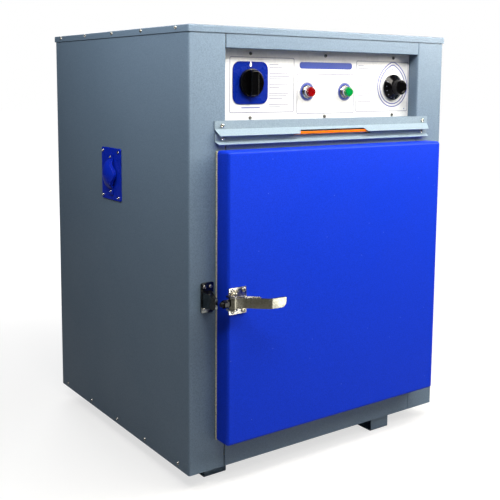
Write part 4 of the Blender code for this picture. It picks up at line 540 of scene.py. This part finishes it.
screwHead = {
    "rings": [(0.002784, 0), (0.0029, 0.0003), (0.002813, 0.000855), (0.002378, 0.001596), (0.001682, 0.0019),
              (0.00116, 0.00171), (0.000754, 0.001045)],
    "sides": 20, "rise": 0.0019, "crossLong": 0.0034, "crossWide": 0.0008, "crossDeep": 0.0011,
    "firstTurn": 0.3, "turnStep": 0.6,  # radians, so that no two crosses stand alike
    "sightLine": 0.1,  # how far out a screw is aimed from, onto a node that isn't flat
}


def modelScrew():
    look = screwHead
    screw = addTurned((0, 0, 0), look["rings"], look["sides"])
    for turn in (0, math.pi / 2):
        slotCut = addBlock((0, -look["rise"], 0), (look["crossLong"], look["crossDeep"] * 2, look["crossWide"]))
        slotCut.rotation_euler = (0, turn, 0)
        fuse(screw, slotCut, "DIFFERENCE")
    return screw


turns = {
    "front": Matrix.Identity(4),
    "left": Matrix.Rotation(-math.pi / 2, 4, "Z"),
    "right": Matrix.Rotation(math.pi / 2, 4, "Z"),
    "back": Matrix.Rotation(math.pi, 4, "Z"),
}
# how far each pressed sheet stands out from what it lies on
sheets = {"fitGap": 0.0003, "keeper": 0.0022, "latchPlate": 0.0023, "guard": 0.0015, "hingeLeaf": 0.0023,
          "cover": 0.0016}
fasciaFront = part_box("control_fascia")[0].y
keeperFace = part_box("mouth_frame")[0].y - sheets["fitGap"] - sheets["keeper"]
doorFront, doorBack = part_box("door_outer")[0].y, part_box("door_outer")[1].y
guardFace = front - sheets["guard"]
plateOut = abs(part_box("left_handle_plate")[0].x)
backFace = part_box("back_panel")[1].y

# across and up are measured from the cabinet's lower left corner, and backwards from its front at the sides
screwSets = {
    "fascia": {"finish": "dullNickel", "size": 0.95, "depth": fasciaFront,
               "spots": [(across, up) for across in (0.121, 0.2685, 0.420) for up in (0.6275, 0.531)]},
    "guard": {"size": 1.15, "depth": guardFace, "spots": [(0.0554, 0.5214), (0.4715, 0.5213)]},
    "drip_rail": {"size": 1.1, "depth": guardFace, "spots": [(0.0562, 0.5030), (0.4693, 0.5030)]},
    "keeper": {"size": 1.05, "depth": keeperFace,
               "spots": [(0.0251, 0.2864), (0.0357, 0.2862), (0.0241, 0.2543), (0.0355, 0.2540)]},
    "latch_plate": {"body": "door", "size": 1.15, "depth": doorFront - sheets["latchPlate"],
                    "spots": [(0.0525, 0.2833), (0.0722, 0.2831), (0.0525, 0.2525), (0.0711, 0.2521)]},
    "hinge": {"size": 1.1, "depth": front - sheets["hingeLeaf"],
              "spots": [(0.5065, middle + step) for middle in (0.1296, 0.4024) for step in (-0.022, 0.022)]},
}
sideScrews = {"backs": (0.0326, 0.138, 0.238, 0.341, 0.446), "coverUp": 0.661, "footUp": 0.0085,
              "plateBacks": (0.2195, 0.276), "plateUps": (0.394, 0.469),
              "gripBack": 0.2445, "gripUps": (0.4030, 0.4600)}
for face, side in (("left", -1), ("right", 1)):
    look = sideScrews
    screwSets["cover_" + face] = {"faces": face, "size": 1.0, "depth": side * (right + sheets["cover"]),
                                  "spots": [(across, look["coverUp"]) for across in look["backs"]]}
    screwSets["foot_edge_" + face] = {"faces": face, "size": 0.85, "depth": side * right,
                                      "spots": [(across, look["footUp"]) for across in look["backs"]]}
    screwSets["handle_plate_" + face] = {
        "faces": face, "size": 0.9, "depth": side * plateOut,
        "spots": [(across, up) for across in look["plateBacks"] for up in look["plateUps"]]}
    screwSets["grip_" + face] = {"faces": face, "size": 0.75, "depth": side * right,
                                 "spots": [(look["gripBack"], up) for up in look["gripUps"]],
                                 "node": face + "_handle_grip"}
# those of the door's leaves stand between those of the cabinet's leaves, and pass them when the door is open
leafScrews = {"inwards": 0.0085, "steps": (-0.011, 0.011)}
for place in ("lower", "upper"):
    leaf = "hinge_door_leaf_" + place
    leafLow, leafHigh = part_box(leaf)
    across, middle = leafLow.y + leafScrews["inwards"] - front, (leafLow.z + leafHigh.z) / 2
    screwSets["door_leaf_" + place] = {"faces": "right", "body": "door", "size": 0.9, "depth": leafHigh.x,
                                       "spots": [(across, middle + step - base) for step in leafScrews["steps"]],
                                       "node": leaf}
screwSets["back_panel"] = {
    "faces": "back", "size": 1.0, "depth": backFace,
    "spots": [(across, up) for across in (0.012, 0.508) for up in (0.03, 0.17, 0.32, 0.47, 0.62)]}
doorMiddle = 0.266  # across and up alike, as the door is square
aroundDoor = [(-0.185, -0.16), (-0.185, 0), (-0.185, 0.16), (0.185, -0.16), (0.185, 0), (0.185, 0.16),
              (-0.09, -0.185), (0.09, -0.185), (-0.09, 0.185), (0.09, 0.185)]
screwSets["door_inner"] = {"faces": "back", "body": "door", "size": 0.9, "depth": doorBack,
                           "spots": [(doorMiddle + across, doorMiddle + up) for across, up in aroundDoor]}


def seatOn(node, spot, facing):
    # where a line from outside meets the node
    shape = nodes[node].data
    faces = [face.vertices for face in shape.polygons]
    surface = BVHTree.FromPolygons([point.co for point in shape.vertices], faces)
    reach = turns[facing].to_3x3() @ Vector((0, -screwHead["sightLine"], 0))
    return surface.ray_cast(spot + reach, -reach.normalized())[0] or spot


def fitScrews():
    pattern = modelScrew()
    for name, group in screwSets.items():
        facing = group.get("faces", "front")
        finishName = group.get("finish", "nickel")
        for number, (across, up) in enumerate(group["spots"]):
            spot = Vector((left + across, group["depth"], base + up))
            if facing in ("left", "right"):
                spot = Vector((group["depth"], front + across, base + up))
            if "node" in group:
                spot = seatOn(group["node"], spot, facing)
            spin = Matrix.Rotation(screwHead["turnStep"] * number + screwHead["firstTurn"], 4, "Y")
            size = Matrix.Scale(group["size"], 4)
            screw = copyOf(pattern, Matrix.Translation(spot) @ turns[facing] @ spin @ size)
            screwName = "screw_" + name + "_" + str(number + 1)
            settle(screw, screwName, finishes[finishName], group.get("body", "cabinet"))
    bpy.data.objects.remove(pattern)


fitScrews()
print("stage: screws fitted", sum(len(group["spots"]) for group in screwSets.values()))


# Heat selector knob

selector = {
    "rings": [(0.02111, 0.0016), (0.0215, 0.00212), (0.0215, 0.0058), (0.021045, 0.00671), (0.0202, 0.0071),
              (0.01677, 0.0071), (0.01591, 0.0065), (0.0043, 0.0065)],
    "sides": 72, "gripBack": 0.0051, "gripFront": 0.0160, "gripWidth": 0.0155, "gripLength": 0.0405,
    "gripFaceShares": (0.80, 1, 0.93), "gripRound": 0.0028,
}


def makeSelectorKnob():
    look = selector
    axis = Vector(joints["heat_selector_turn"]["pos_m"])
    knob = addTurned(axis, look["rings"], look["sides"])
    depth = look["gripFront"] - look["gripBack"]
    middle = axis + Vector((0, -look["gripFront"] + depth / 2, 0))
    bar = addBlock(middle, (look["gripWidth"], depth, look["gripLength"]))
    choose(bar, "FACE", lambda place, normal: normal.y < -0.5)
    bpy.ops.transform.resize(value=look["gripFaceShares"])
    editDone()
    roundEdges(bar, look["gripRound"], segments=4, angle=40)
    fuse(knob, bar)
    settle(knob, "selector_knob", finishes["blackPlastic"], "heat_selector",
           ("heat_selector_knob",))


makeSelectorKnob()
print("stage: selector knob")


# Thermostat dial: a skirt, a cone and a knob with a grooved rim

dial = {
    "rings": [(0.0210, 0.0013), (0.0215, 0.0018), (0.0215, 0.0037), (0.0207, 0.0043), (0.0134, 0.0100),
              (0.0128, 0.0108), (0.0124, 0.0114), (0.0124, 0.0224), (0.0120, 0.0232), (0.0112, 0.0236),
              (0.008928, 0.0236), (0.008184, 0.0231)],
    "rimFrom": 0.0114, "rimTo": 0.0224, "grooves": 36, "grooveEdge": 0.00015, "grooveDepth": 0.0004,
}


def makeDial():
    look = dial
    axis = Vector(joints["thermostat_turn"]["pos_m"])
    sides = 2 * look["grooves"]
    knob = addTurned(axis, look["rings"], sides)

    def isGroove(place, normal):
        onRim = axis.y - look["rimTo"] < place.y < axis.y - look["rimFrom"] and abs(normal.y) < 0.2
        turned = (math.atan2(place.z - axis.z, place.x - axis.x) + math.pi) / (2 * math.pi)
        return onRim and int(turned * sides) % 2 == 0

    choose(knob, "FACE", isGroove)
    bpy.ops.mesh.inset(thickness=look["grooveEdge"], depth=-look["grooveDepth"], use_individual=True)
    editDone()
    settle(knob, "dial_knob", finishes["blackPlastic"], "thermostat_knob", ("thermostat_dial",),
           smooth=30)


makeDial()
print("stage: thermostat dial")


# Indicator lamps

lamp = {
    "bezel": [(0.0105, 0.0003), (0.0105, 0.0011), (0.0098, 0.0019), (0.0086, 0.0019), (0.0084, 0.0024),
              (0.0084, 0.0071), (0.0080, 0.0077), (0.0074, 0.0077)],
    "bezelSides": 48,
    "lens": [(0.0074, 0.0060), (0.0078, 0.0086), (0.0078, 0.0121), (0.0071, 0.0130), (0.0056, 0.0133)],
    "lensSides": 16, "star": 0.0009, "facetEdge": 0.0004, "facetDepth": 0.0003,
}


def lampCentre(colour):
    low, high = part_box("lamp_" + colour + "_lens")
    return Vector(((low.x + high.x) / 2, fasciaFront, (low.z + high.z) / 2))


def makeLamp(colour):
    bezel = addTurned(lampCentre(colour), lamp["bezel"], lamp["bezelSides"])
    settle(bezel, "lamp_bezel_" + colour, finishes["nickel"], "cabinet", ("lamp_" + colour + "_bezel",))
    lens = addTurned(lampCentre(colour), lamp["lens"], lamp["lensSides"])
    choose(lens, "FACE", lambda place, normal: normal.y < -0.9)
    bpy.ops.mesh.inset(thickness=lamp["star"], depth=0)
    bpy.ops.mesh.poke()
    editDone()
    choose(lens, "FACE", lambda place, normal: abs(normal.y) < 0.4)
    bpy.ops.mesh.inset(thickness=lamp["facetEdge"], depth=-lamp["facetDepth"], use_individual=True)
    editDone()
    settle(lens, "lamp_lens_" + colour, finishes[colour + "Lens"], "cabinet",
           ("lamp_" + colour + "_lens",), smooth=12)


for colour in ("red", "green"):
    makeLamp(colour)
print("stage: lamps")


# Latch bolt, with its thread's ridges as rings

bolt = {"root": 0.0030, "ridge": 0.0007, "pitch": 0.0010, "sides": 24, "ridgeSides": 6, "ridgeSteps": 20,
        "ease": 0.0006}


def makeBolt():
    low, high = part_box("latch_bolt")
    middle = (low + high) / 2
    length = high.x - low.x
    core = addRound(middle, bolt["root"], length, bolt["sides"], "x")
    roundEdges(core, bolt["ease"], angle=50)
    parts = [core]
    for number in range(int(length / bolt["pitch"]) - 1):
        clearSelection()
        bpy.ops.mesh.primitive_torus_add(
            location=(low.x + bolt["pitch"] * (number + 1), middle.y, middle.z), rotation=(0, math.pi / 2, 0),
            major_segments=bolt["ridgeSteps"], minor_segments=bolt["ridgeSides"],
            major_radius=bolt["root"], minor_radius=bolt["ridge"])
        parts.append(bpy.context.object)
    settle(gather(parts), "latch_bolt_thread", finishes["blackSteel"], "latch_lever", ("latch_bolt",))


makeBolt()


# Flange of the latch lever

leverFlange = {"start": 0.0165, "end": 0.0350, "near": 0.0168, "lean": 0.0158, "depth": 0.0024, "rise": 0.0024,
               "sunk": 0.0003, "topShares": (0.97, 0.15, 1), "ease": 0.0004}


def makeLeverFlange():
    # the lever's upper edge is folded over into a slanted bead between its pivot and its bend
    look = leverFlange
    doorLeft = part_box("door_outer")[0].x
    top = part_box("latch_handle")[1].z
    width = look["end"] - look["start"]
    centre = (doorLeft + look["start"] + width / 2, doorFront - look["near"] - look["depth"] / 2,
              top + look["rise"] / 2 - look["sunk"])
    flange = addBlock(centre, (width, look["depth"], look["rise"]))
    choose(flange, "FACE", lambda place, normal: normal.z > 0.5)
    backEdge = (centre[0], centre[1] + look["depth"] / 2, top)
    bpy.ops.transform.resize(value=look["topShares"], center_override=backEdge)
    editDone()
    choose(flange, "FACE", lambda place, normal: normal.x > 0.5)
    bpy.ops.transform.translate(value=(0, -look["lean"], 0))
    editDone()
    roundEdges(flange, look["ease"])
    settle(flange, "latch_lever_flange", finishes["nickel"], "latch_lever")


makeLeverFlange()


# Sealing cord on the latch side of the door

sealingCord = {"radius": 0.0016, "proud": 0.0006, "sides": 10, "ease": 0.0006, "uneven": 0.0003, "steps": 90,
               "seed": 4}


def makeSealingCord():
    # the seal's cord stands a little proud of the door, and isn't quite straight
    look = sealingCord
    low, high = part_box("door_gasket")
    centre = (low.x - look["proud"], (low.y + high.y) / 2, (low.z + high.z) / 2)
    cord = addRound(centre, look["radius"], high.z - low.z, look["sides"], "z")
    roundEdges(cord, look["ease"], angle=50)
    choose(cord, "EDGE", lambda first, second: abs(first.z - second.z) > 0.1)
    bpy.ops.mesh.subdivide(number_cuts=look["steps"])
    bpy.ops.mesh.select_all(action="SELECT")
    bpy.ops.transform.vertex_random(offset=look["uneven"], seed=look["seed"])
    editDone()
    settle(cord, "sealing_cord_left", finishes["khakiGasket"], "door", smooth=60)


makeSealingCord()


# Wire shelves: a rim, one bar across and the wires that lie on it

shelfWire = {"rim": 0.0030, "rimSteps": 3, "corner": 0.016, "cornerSteps": 8, "bar": 0.0022, "wire": 0.0016,
             "sides": 12, "count": 11, "lift": 0.0022}


def makeShelf(node, body):
    look = shelfWire
    low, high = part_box(node)
    middle = (low + high) / 2
    level = low.z + look["rim"]
    width, depth = high.x - low.x - 2 * look["rim"], high.y - low.y - 2 * look["rim"]
    clearSelection()
    bpy.ops.mesh.primitive_plane_add(size=1, location=(middle.x, middle.y, level))
    loop = bpy.context.object
    loop.scale = (width, depth, 1)
    bpy.ops.object.transform_apply(location=False, rotation=False, scale=True)
    bpy.ops.object.mode_set(mode="EDIT")
    bpy.ops.mesh.select_all(action="SELECT")
    bpy.ops.mesh.bevel(offset=look["corner"], segments=look["cornerSteps"], affect="VERTICES")
    bpy.ops.mesh.delete(type="ONLY_FACE")
    editDone()
    bpy.ops.object.convert(target="CURVE")
    loop = bpy.context.object
    loop.data.bevel_depth = look["rim"]
    loop.data.bevel_resolution = look["rimSteps"]
    bpy.ops.object.convert(target="MESH")
    parts = [bpy.context.object, addRound((middle.x, middle.y, level), look["bar"], width, look["sides"], "x")]
    for number in range(look["count"]):
        spot = (middle.x - width / 2 + width * (number + 1) / (look["count"] + 1), middle.y, level + look["lift"])
        parts.append(addRound(spot, look["wire"], depth, look["sides"], "y"))
    settle(gather(parts), node + "_wires", finishes["zincSteel"], body, (node,), smooth=40)


makeShelf("shelf_upper", "upper_shelf")
makeShelf("shelf_lower", "lower_shelf")
print("stage: bolt, flange, cord and shelves")


# Louvre lips on the back panel

louvre = {"across": (0.185, 0.335), "first": 0.565, "pitch": 0.013, "rows": 5, "rise": 0.0040,
          "width": 0.072, "height": 0.0026, "depth": 0.0024, "outerShares": (0.97, 1, 0.7), "round": 0.0005}


def makeLouvreLips():
    look = louvre
    pattern = addBlock((0, 0, 0), (look["width"], look["depth"], look["height"]))
    choose(pattern, "FACE", lambda place, normal: normal.y > 0.5)
    bpy.ops.transform.resize(value=look["outerShares"])
    editDone()
    roundEdges(pattern, look["round"], segments=3)
    lips = []
    for across in look["across"]:
        for row in range(look["rows"]):
            up = look["first"] + look["pitch"] * row + look["rise"]
            spot = Vector((left + across, backFace + look["depth"] / 2, base + up))
            lips.append(copyOf(pattern, Matrix.Translation(spot)))
    bpy.data.objects.remove(pattern)
    settle(gather(lips), "louvre_lips", finishes["cabinetPaint"], "cabinet")


makeLouvreLips()
print("stage: louvre lips")


# Printing on the fascia: frames, bars and thin rules

ink = {"gap": 0.00008, "depth": 0.00012, "frameLine": 0.0011, "frameCorner": 0.003, "barCornerShare": 0.4}


def atFascia(across, up):
    return Vector((left + across, fasciaFront - ink["gap"], base + up))


def openMiddle(sheet, line):
    # leaves a line of this width along the sheet's edge
    choose(sheet, "FACE", lambda place, normal: True)
    bpy.ops.mesh.inset(thickness=line)
    bpy.ops.mesh.delete(type="FACE")
    editDone()


def drawUp(sheet, share, radius, rise, reach):
    # pulls the top of a round sheet up to a point
    choose(sheet, "EDGE", lambda first, second: min(first.z, second.z) > radius * share)
    bpy.ops.transform.translate(value=(0, 0, rise), use_proportional_edit=True,
                                proportional_edit_falloff="SHARP", proportional_size=radius * reach)
    editDone()


def finishPrint(sheet, name, colour, body="cabinet"):
    settle(thicken(sheet, ink["depth"]), name, finishes[colour], body, smooth=0)


def printFrame(name, across, up):
    centre = atFascia((across[0] + across[1]) / 2, (up[0] + up[1]) / 2)
    sheet = addOutline(centre, across[1] - across[0], up[1] - up[0], ink["frameCorner"])
    openMiddle(sheet, ink["frameLine"])
    finishPrint(sheet, name, "paleInk")


def printBars(name, bars, colour, height):
    parts = []
    for start, end, up in bars:
        corner = height * ink["barCornerShare"]
        sheet = addOutline(atFascia((start + end) / 2, up), end - start, height, corner, segments=3)
        parts.append(thicken(sheet, ink["depth"]))
    settle(gather(parts), name, finishes[colour], "cabinet", smooth=0)


def ruleLines(start, ends, ups):
    return [(start, end, up) for end, up in zip(ends, ups)]


printedFrames = {
    "print_frame_left": ((0.083, 0.205), (0.5385, 0.6225)),
    "print_frame_middle": ((0.2106, 0.3314), (0.5354, 0.5989)),
    "print_frame_right": ((0.3354, 0.457), (0.537, 0.6215)),
}
for name, (across, up) in printedFrames.items():
    printFrame(name, across, up)
leftRules = ruleLines(0.1565, (0.174, 0.182, 0.193, 0.195, 0.184, 0.192, 0.176, 0.194, 0.190, 0.182, 0.194, 0.178),
                      (0.6115, 0.607, 0.598, 0.594, 0.590, 0.581, 0.577, 0.568, 0.564, 0.560, 0.551, 0.547))
rightRules = ruleLines(0.3400, (0.352, 0.362, 0.349, 0.346, 0.366, 0.351, 0.371, 0.369, 0.352, 0.370, 0.362),
                       (0.6135, 0.609, 0.601, 0.597, 0.585, 0.581, 0.572, 0.568, 0.564, 0.554, 0.550))
printedBars = {
    "print_bar_top": {"bars": [(0.2155, 0.326, 0.6118)], "ink": "blueInk", "height": 0.0105},
    "print_bar_small": {"bars": [(0.1045, 0.139, 0.5462)], "ink": "violetInk", "height": 0.0016},
    "print_rules_left": {"bars": leftRules, "ink": "paleInk", "height": 0.0011},
    "print_rules_right": {"bars": rightRules, "ink": "paleInk", "height": 0.0010},
}
for name, look in printedBars.items():
    printBars(name, look["bars"], look["ink"], look["height"])


# Egg-shaped lines round the dial, and rings round the lamps

egg = {"across": 0.4198, "up": 0.5798, "outer": 0.0355, "inner": 0.0306, "sides": 64, "line": 0.0018,
       "rise": 0.0060, "topShare": 0.985, "reach": 1.1}


def printEggLine(name, radius):
    ring = addDisc(atFascia(egg["across"], egg["up"]), radius, egg["sides"])
    drawUp(ring, egg["topShare"], radius, egg["rise"], egg["reach"])
    openMiddle(ring, egg["line"])
    finishPrint(ring, name, "violetInk")


printEggLine("print_dial_line_outer", egg["outer"])
printEggLine("print_dial_line_inner", egg["inner"])

lampRings = {
    "inner": {"radius": 0.0125, "line": 0.0030, "ink": "blueInk"},
    "middle": {"radius": 0.0138, "line": 0.0013, "ink": "violetInk"},
    "outer": {"radius": 0.01485, "line": 0.00095, "ink": "paleInk"},
}
for colour in ("red", "green"):
    for name, look in lampRings.items():
        ring = addDisc(lampCentre(colour) - Vector((0, ink["gap"], 0)), look["radius"], lamp["bezelSides"])
        openMiddle(ring, look["line"])
        finishPrint(ring, "print_lamp_ring_" + name + "_" + colour, look["ink"])


# The selector's white pointer and the small dots by the dial

pointer = {"across": 0.1206, "up": 0.6095, "radius": 0.0019, "rise": 0.0050, "topShare": 0.9, "reach": 1.6}
printedDots = {
    "print_dial_index": (0.4191, 0.6079, 0.0009),
    "print_dial_mark_left": (0.3890, 0.5415, 0.0008),
    "print_dial_mark_right": (0.4490, 0.5415, 0.0011),
}
dropSides = 24
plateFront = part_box("heat_selector_plate")[0].y
pointerSpot = (left + pointer["across"], plateFront - ink["gap"], base + pointer["up"])
drop = addDisc(pointerSpot, pointer["radius"], dropSides)
drawUp(drop, pointer["topShare"], pointer["radius"], pointer["rise"], pointer["reach"])
finishPrint(drop, "print_selector_pointer", "whiteInk")
for name, (across, up, radius) in printedDots.items():
    finishPrint(addDisc(atFascia(across, up), radius, dropSides), name, "violetInk")


# Raised dots on the dial's skirt, every fifth one larger

dialDots = {"reach": 0.0183, "out": 0.0058, "radius": 0.0007, "first": 150, "step": 24, "count": 11,
            "largeShare": 1.35, "face": 0.0005, "crown": 0.0008, "crownShare": 0.7, "sides": 12}


def markDial():
    look = dialDots
    axis = Vector(joints["thermostat_turn"]["pos_m"])
    dots = []
    for number in range(look["count"]):
        angle = math.radians(look["first"] + look["step"] * number)
        spot = axis + Vector((math.cos(angle), 0, math.sin(angle))) * look["reach"]
        spot.y -= look["out"]
        size = look["radius"] * (look["largeShare"] if number % 5 == 0 else 1)
        rings = [(size, 0), (size, look["face"]), (size * look["crownShare"], look["crown"])]
        dots.append(addTurned(spot, rings, look["sides"]))
    settle(gather(dots), "print_dial_dots", finishes["paleInk"], "thermostat_knob")


markDial()
print("stage: fascia printed")


# Camera, floor and lights

# the eye in metres, the turns in degrees to the right, down and over
view = {"eye": (-0.872, -1.220, 0.6095), "yaw": 35.71, "pitch": 7.05, "roll": 0.50, "lens": 60.08,
        "shift": (-0.0114, -0.129)}


def setCamera():
    yaw, pitch, roll = (math.radians(view[key]) for key in ("yaw", "pitch", "roll"))
    ahead = Vector((math.sin(yaw) * math.cos(pitch), math.cos(yaw) * math.cos(pitch), -math.sin(pitch)))
    level = Vector((math.cos(yaw), -math.sin(yaw), 0))
    upward = level.cross(ahead)
    side = level * math.cos(roll) + upward * math.sin(roll)
    top = upward * math.cos(roll) - level * math.sin(roll)
    camera = bpy.data.objects.new("camera", bpy.data.cameras.new("camera"))
    bpy.context.scene.collection.objects.link(camera)
    turn = Matrix((side, top, -ahead)).transposed().to_4x4()
    camera.matrix_world = Matrix.Translation(view["eye"]) @ turn
    camera.data.lens = view["lens"]
    camera.data.shift_x, camera.data.shift_y = view["shift"]
    bpy.context.scene.camera = camera


setCamera()

studioFloor = {"size": 30, "shade": 0.32, "unevenShare": 0.03, "grain": 0.03, "roughness": 0.85,
               "glowNear": 0.68, "glowFar": 1.0, "near": 0.45, "far": 1.9}


def floorFinish():
    # a pale floor that fades into the white backdrop around the object
    look = studioFloor
    finish, tree, shader, coords = startFinish("pale floor")
    grain = noiseField(tree, coords, look["grain"])
    low, high = look["shade"] * (1 - look["unevenShare"]), look["shade"] * (1 + look["unevenShare"])
    shader.inputs["Roughness"].default_value = look["roughness"]
    tree.links.new(blended(tree, grain, (low,) * 3, (high,) * 3), shader.inputs["Base Color"])
    length = tree.nodes.new("ShaderNodeVectorMath")
    length.operation = "LENGTH"
    tree.links.new(coords, length.inputs[0])
    glow = ranged(tree, length.outputs["Value"], look["glowNear"], look["glowFar"], look["near"], look["far"])
    path = tree.nodes.new("ShaderNodeLightPath")
    shown = tree.nodes.new("ShaderNodeMath")
    shown.operation = "MULTIPLY"
    tree.links.new(glow, shown.inputs[0])
    tree.links.new(path.outputs["Is Camera Ray"], shown.inputs[1])
    shader.inputs["Emission Color"].default_value = (1, 1, 1, 1)
    tree.links.new(shown.outputs["Value"], shader.inputs["Emission Strength"])
    return finish


clearSelection()
bpy.ops.mesh.primitive_plane_add(size=studioFloor["size"], location=(0, 0, 0))
floor = bpy.context.object
floor.name = "floor"
floor.data.materials.append(floorFinish())

warmWhite = (1.0, 0.955, 0.875)
studioLights = [
    {"name": "strip over the front", "spot": (0.05, -0.62, 1.05), "aim": (0, -0.2, 0.6), "size": (1.2, 0.2),
     "power": 12.6, "colour": warmWhite},
    {"name": "strip over the left side", "spot": (-0.62, -0.15, 0.95), "aim": (-0.26, -0.1, 0.55),
     "size": (0.7, 0.2), "power": 3.3},
    {"name": "right panel", "spot": (1.5, -1.0, 1.0), "aim": (0, -0.2, 0.6), "size": (0.5, 0.5), "power": 8.4,
     "colour": warmWhite},
    {"name": "right high panel", "spot": (1.3, -1.2, 1.2), "aim": (0, -0.2, 0.6), "size": (0.5, 0.5), "power": 8.2,
     "colour": warmWhite},
    {"name": "right near panel", "spot": (0.95, -0.8, 1.0), "aim": (0, -0.2, 0.6), "size": (0.4, 0.4), "power": 5.6,
     "colour": warmWhite},
    {"name": "low fill", "spot": (-0.3, -2.6, 0.7), "aim": (0, 0, 0.3), "size": (1.2, 1.2), "power": 1.0},
    {"name": "rear panel", "spot": (0.5, 2.3, 1.6), "aim": (0, 0.2, 0.45), "size": (1.2, 1.2), "power": 34.0},
    {"name": "card for the latch lever", "spot": (0.19, -0.96, 0.09), "aim": (-0.155, -0.284, 0.293),
     "size": (0.16, 0.10), "power": 0.26},
]
backdrop = {"shown": 1.0, "lighting": 0.03}


def setLights():
    for entry in studioLights:
        light = bpy.data.lights.new(entry["name"], "AREA")
        light.shape = "RECTANGLE"
        light.size, light.size_y = entry["size"]
        light.energy = entry["power"]
        light.color = entry.get("colour", (1, 1, 1))
        panel = bpy.data.objects.new(entry["name"], light)
        bpy.context.scene.collection.objects.link(panel)
        panel.location = entry["spot"]
        aim = Vector(entry["aim"]) - Vector(entry["spot"])
        panel.rotation_mode = "QUATERNION"
        panel.rotation_quaternion = aim.to_track_quat("-Z", "Y")
        panel.visible_camera = False
    world = bpy.data.worlds.new("white backdrop")
    bpy.context.scene.world = world
    world.use_nodes = True
    tree = world.node_tree
    dim = tree.nodes["Background"]
    white = tree.nodes.new("ShaderNodeBackground")
    for shade, strength in ((dim, backdrop["lighting"]), (white, backdrop["shown"])):
        shade.inputs["Color"].default_value = (1, 1, 1, 1)
        shade.inputs["Strength"].default_value = strength
    path = tree.nodes.new("ShaderNodeLightPath")
    mix = tree.nodes.new("ShaderNodeMixShader")
    tree.links.new(path.outputs["Is Camera Ray"], mix.inputs["Fac"])
    tree.links.new(dim.outputs["Background"], mix.inputs[1])
    tree.links.new(white.outputs["Background"], mix.inputs[2])
    tree.links.new(mix.outputs["Shader"], tree.nodes["World Output"].inputs["Surface"])


setLights()
bpy.context.scene.view_settings.view_transform = "Standard"
print("stage: camera and lights set")

clearSelection()
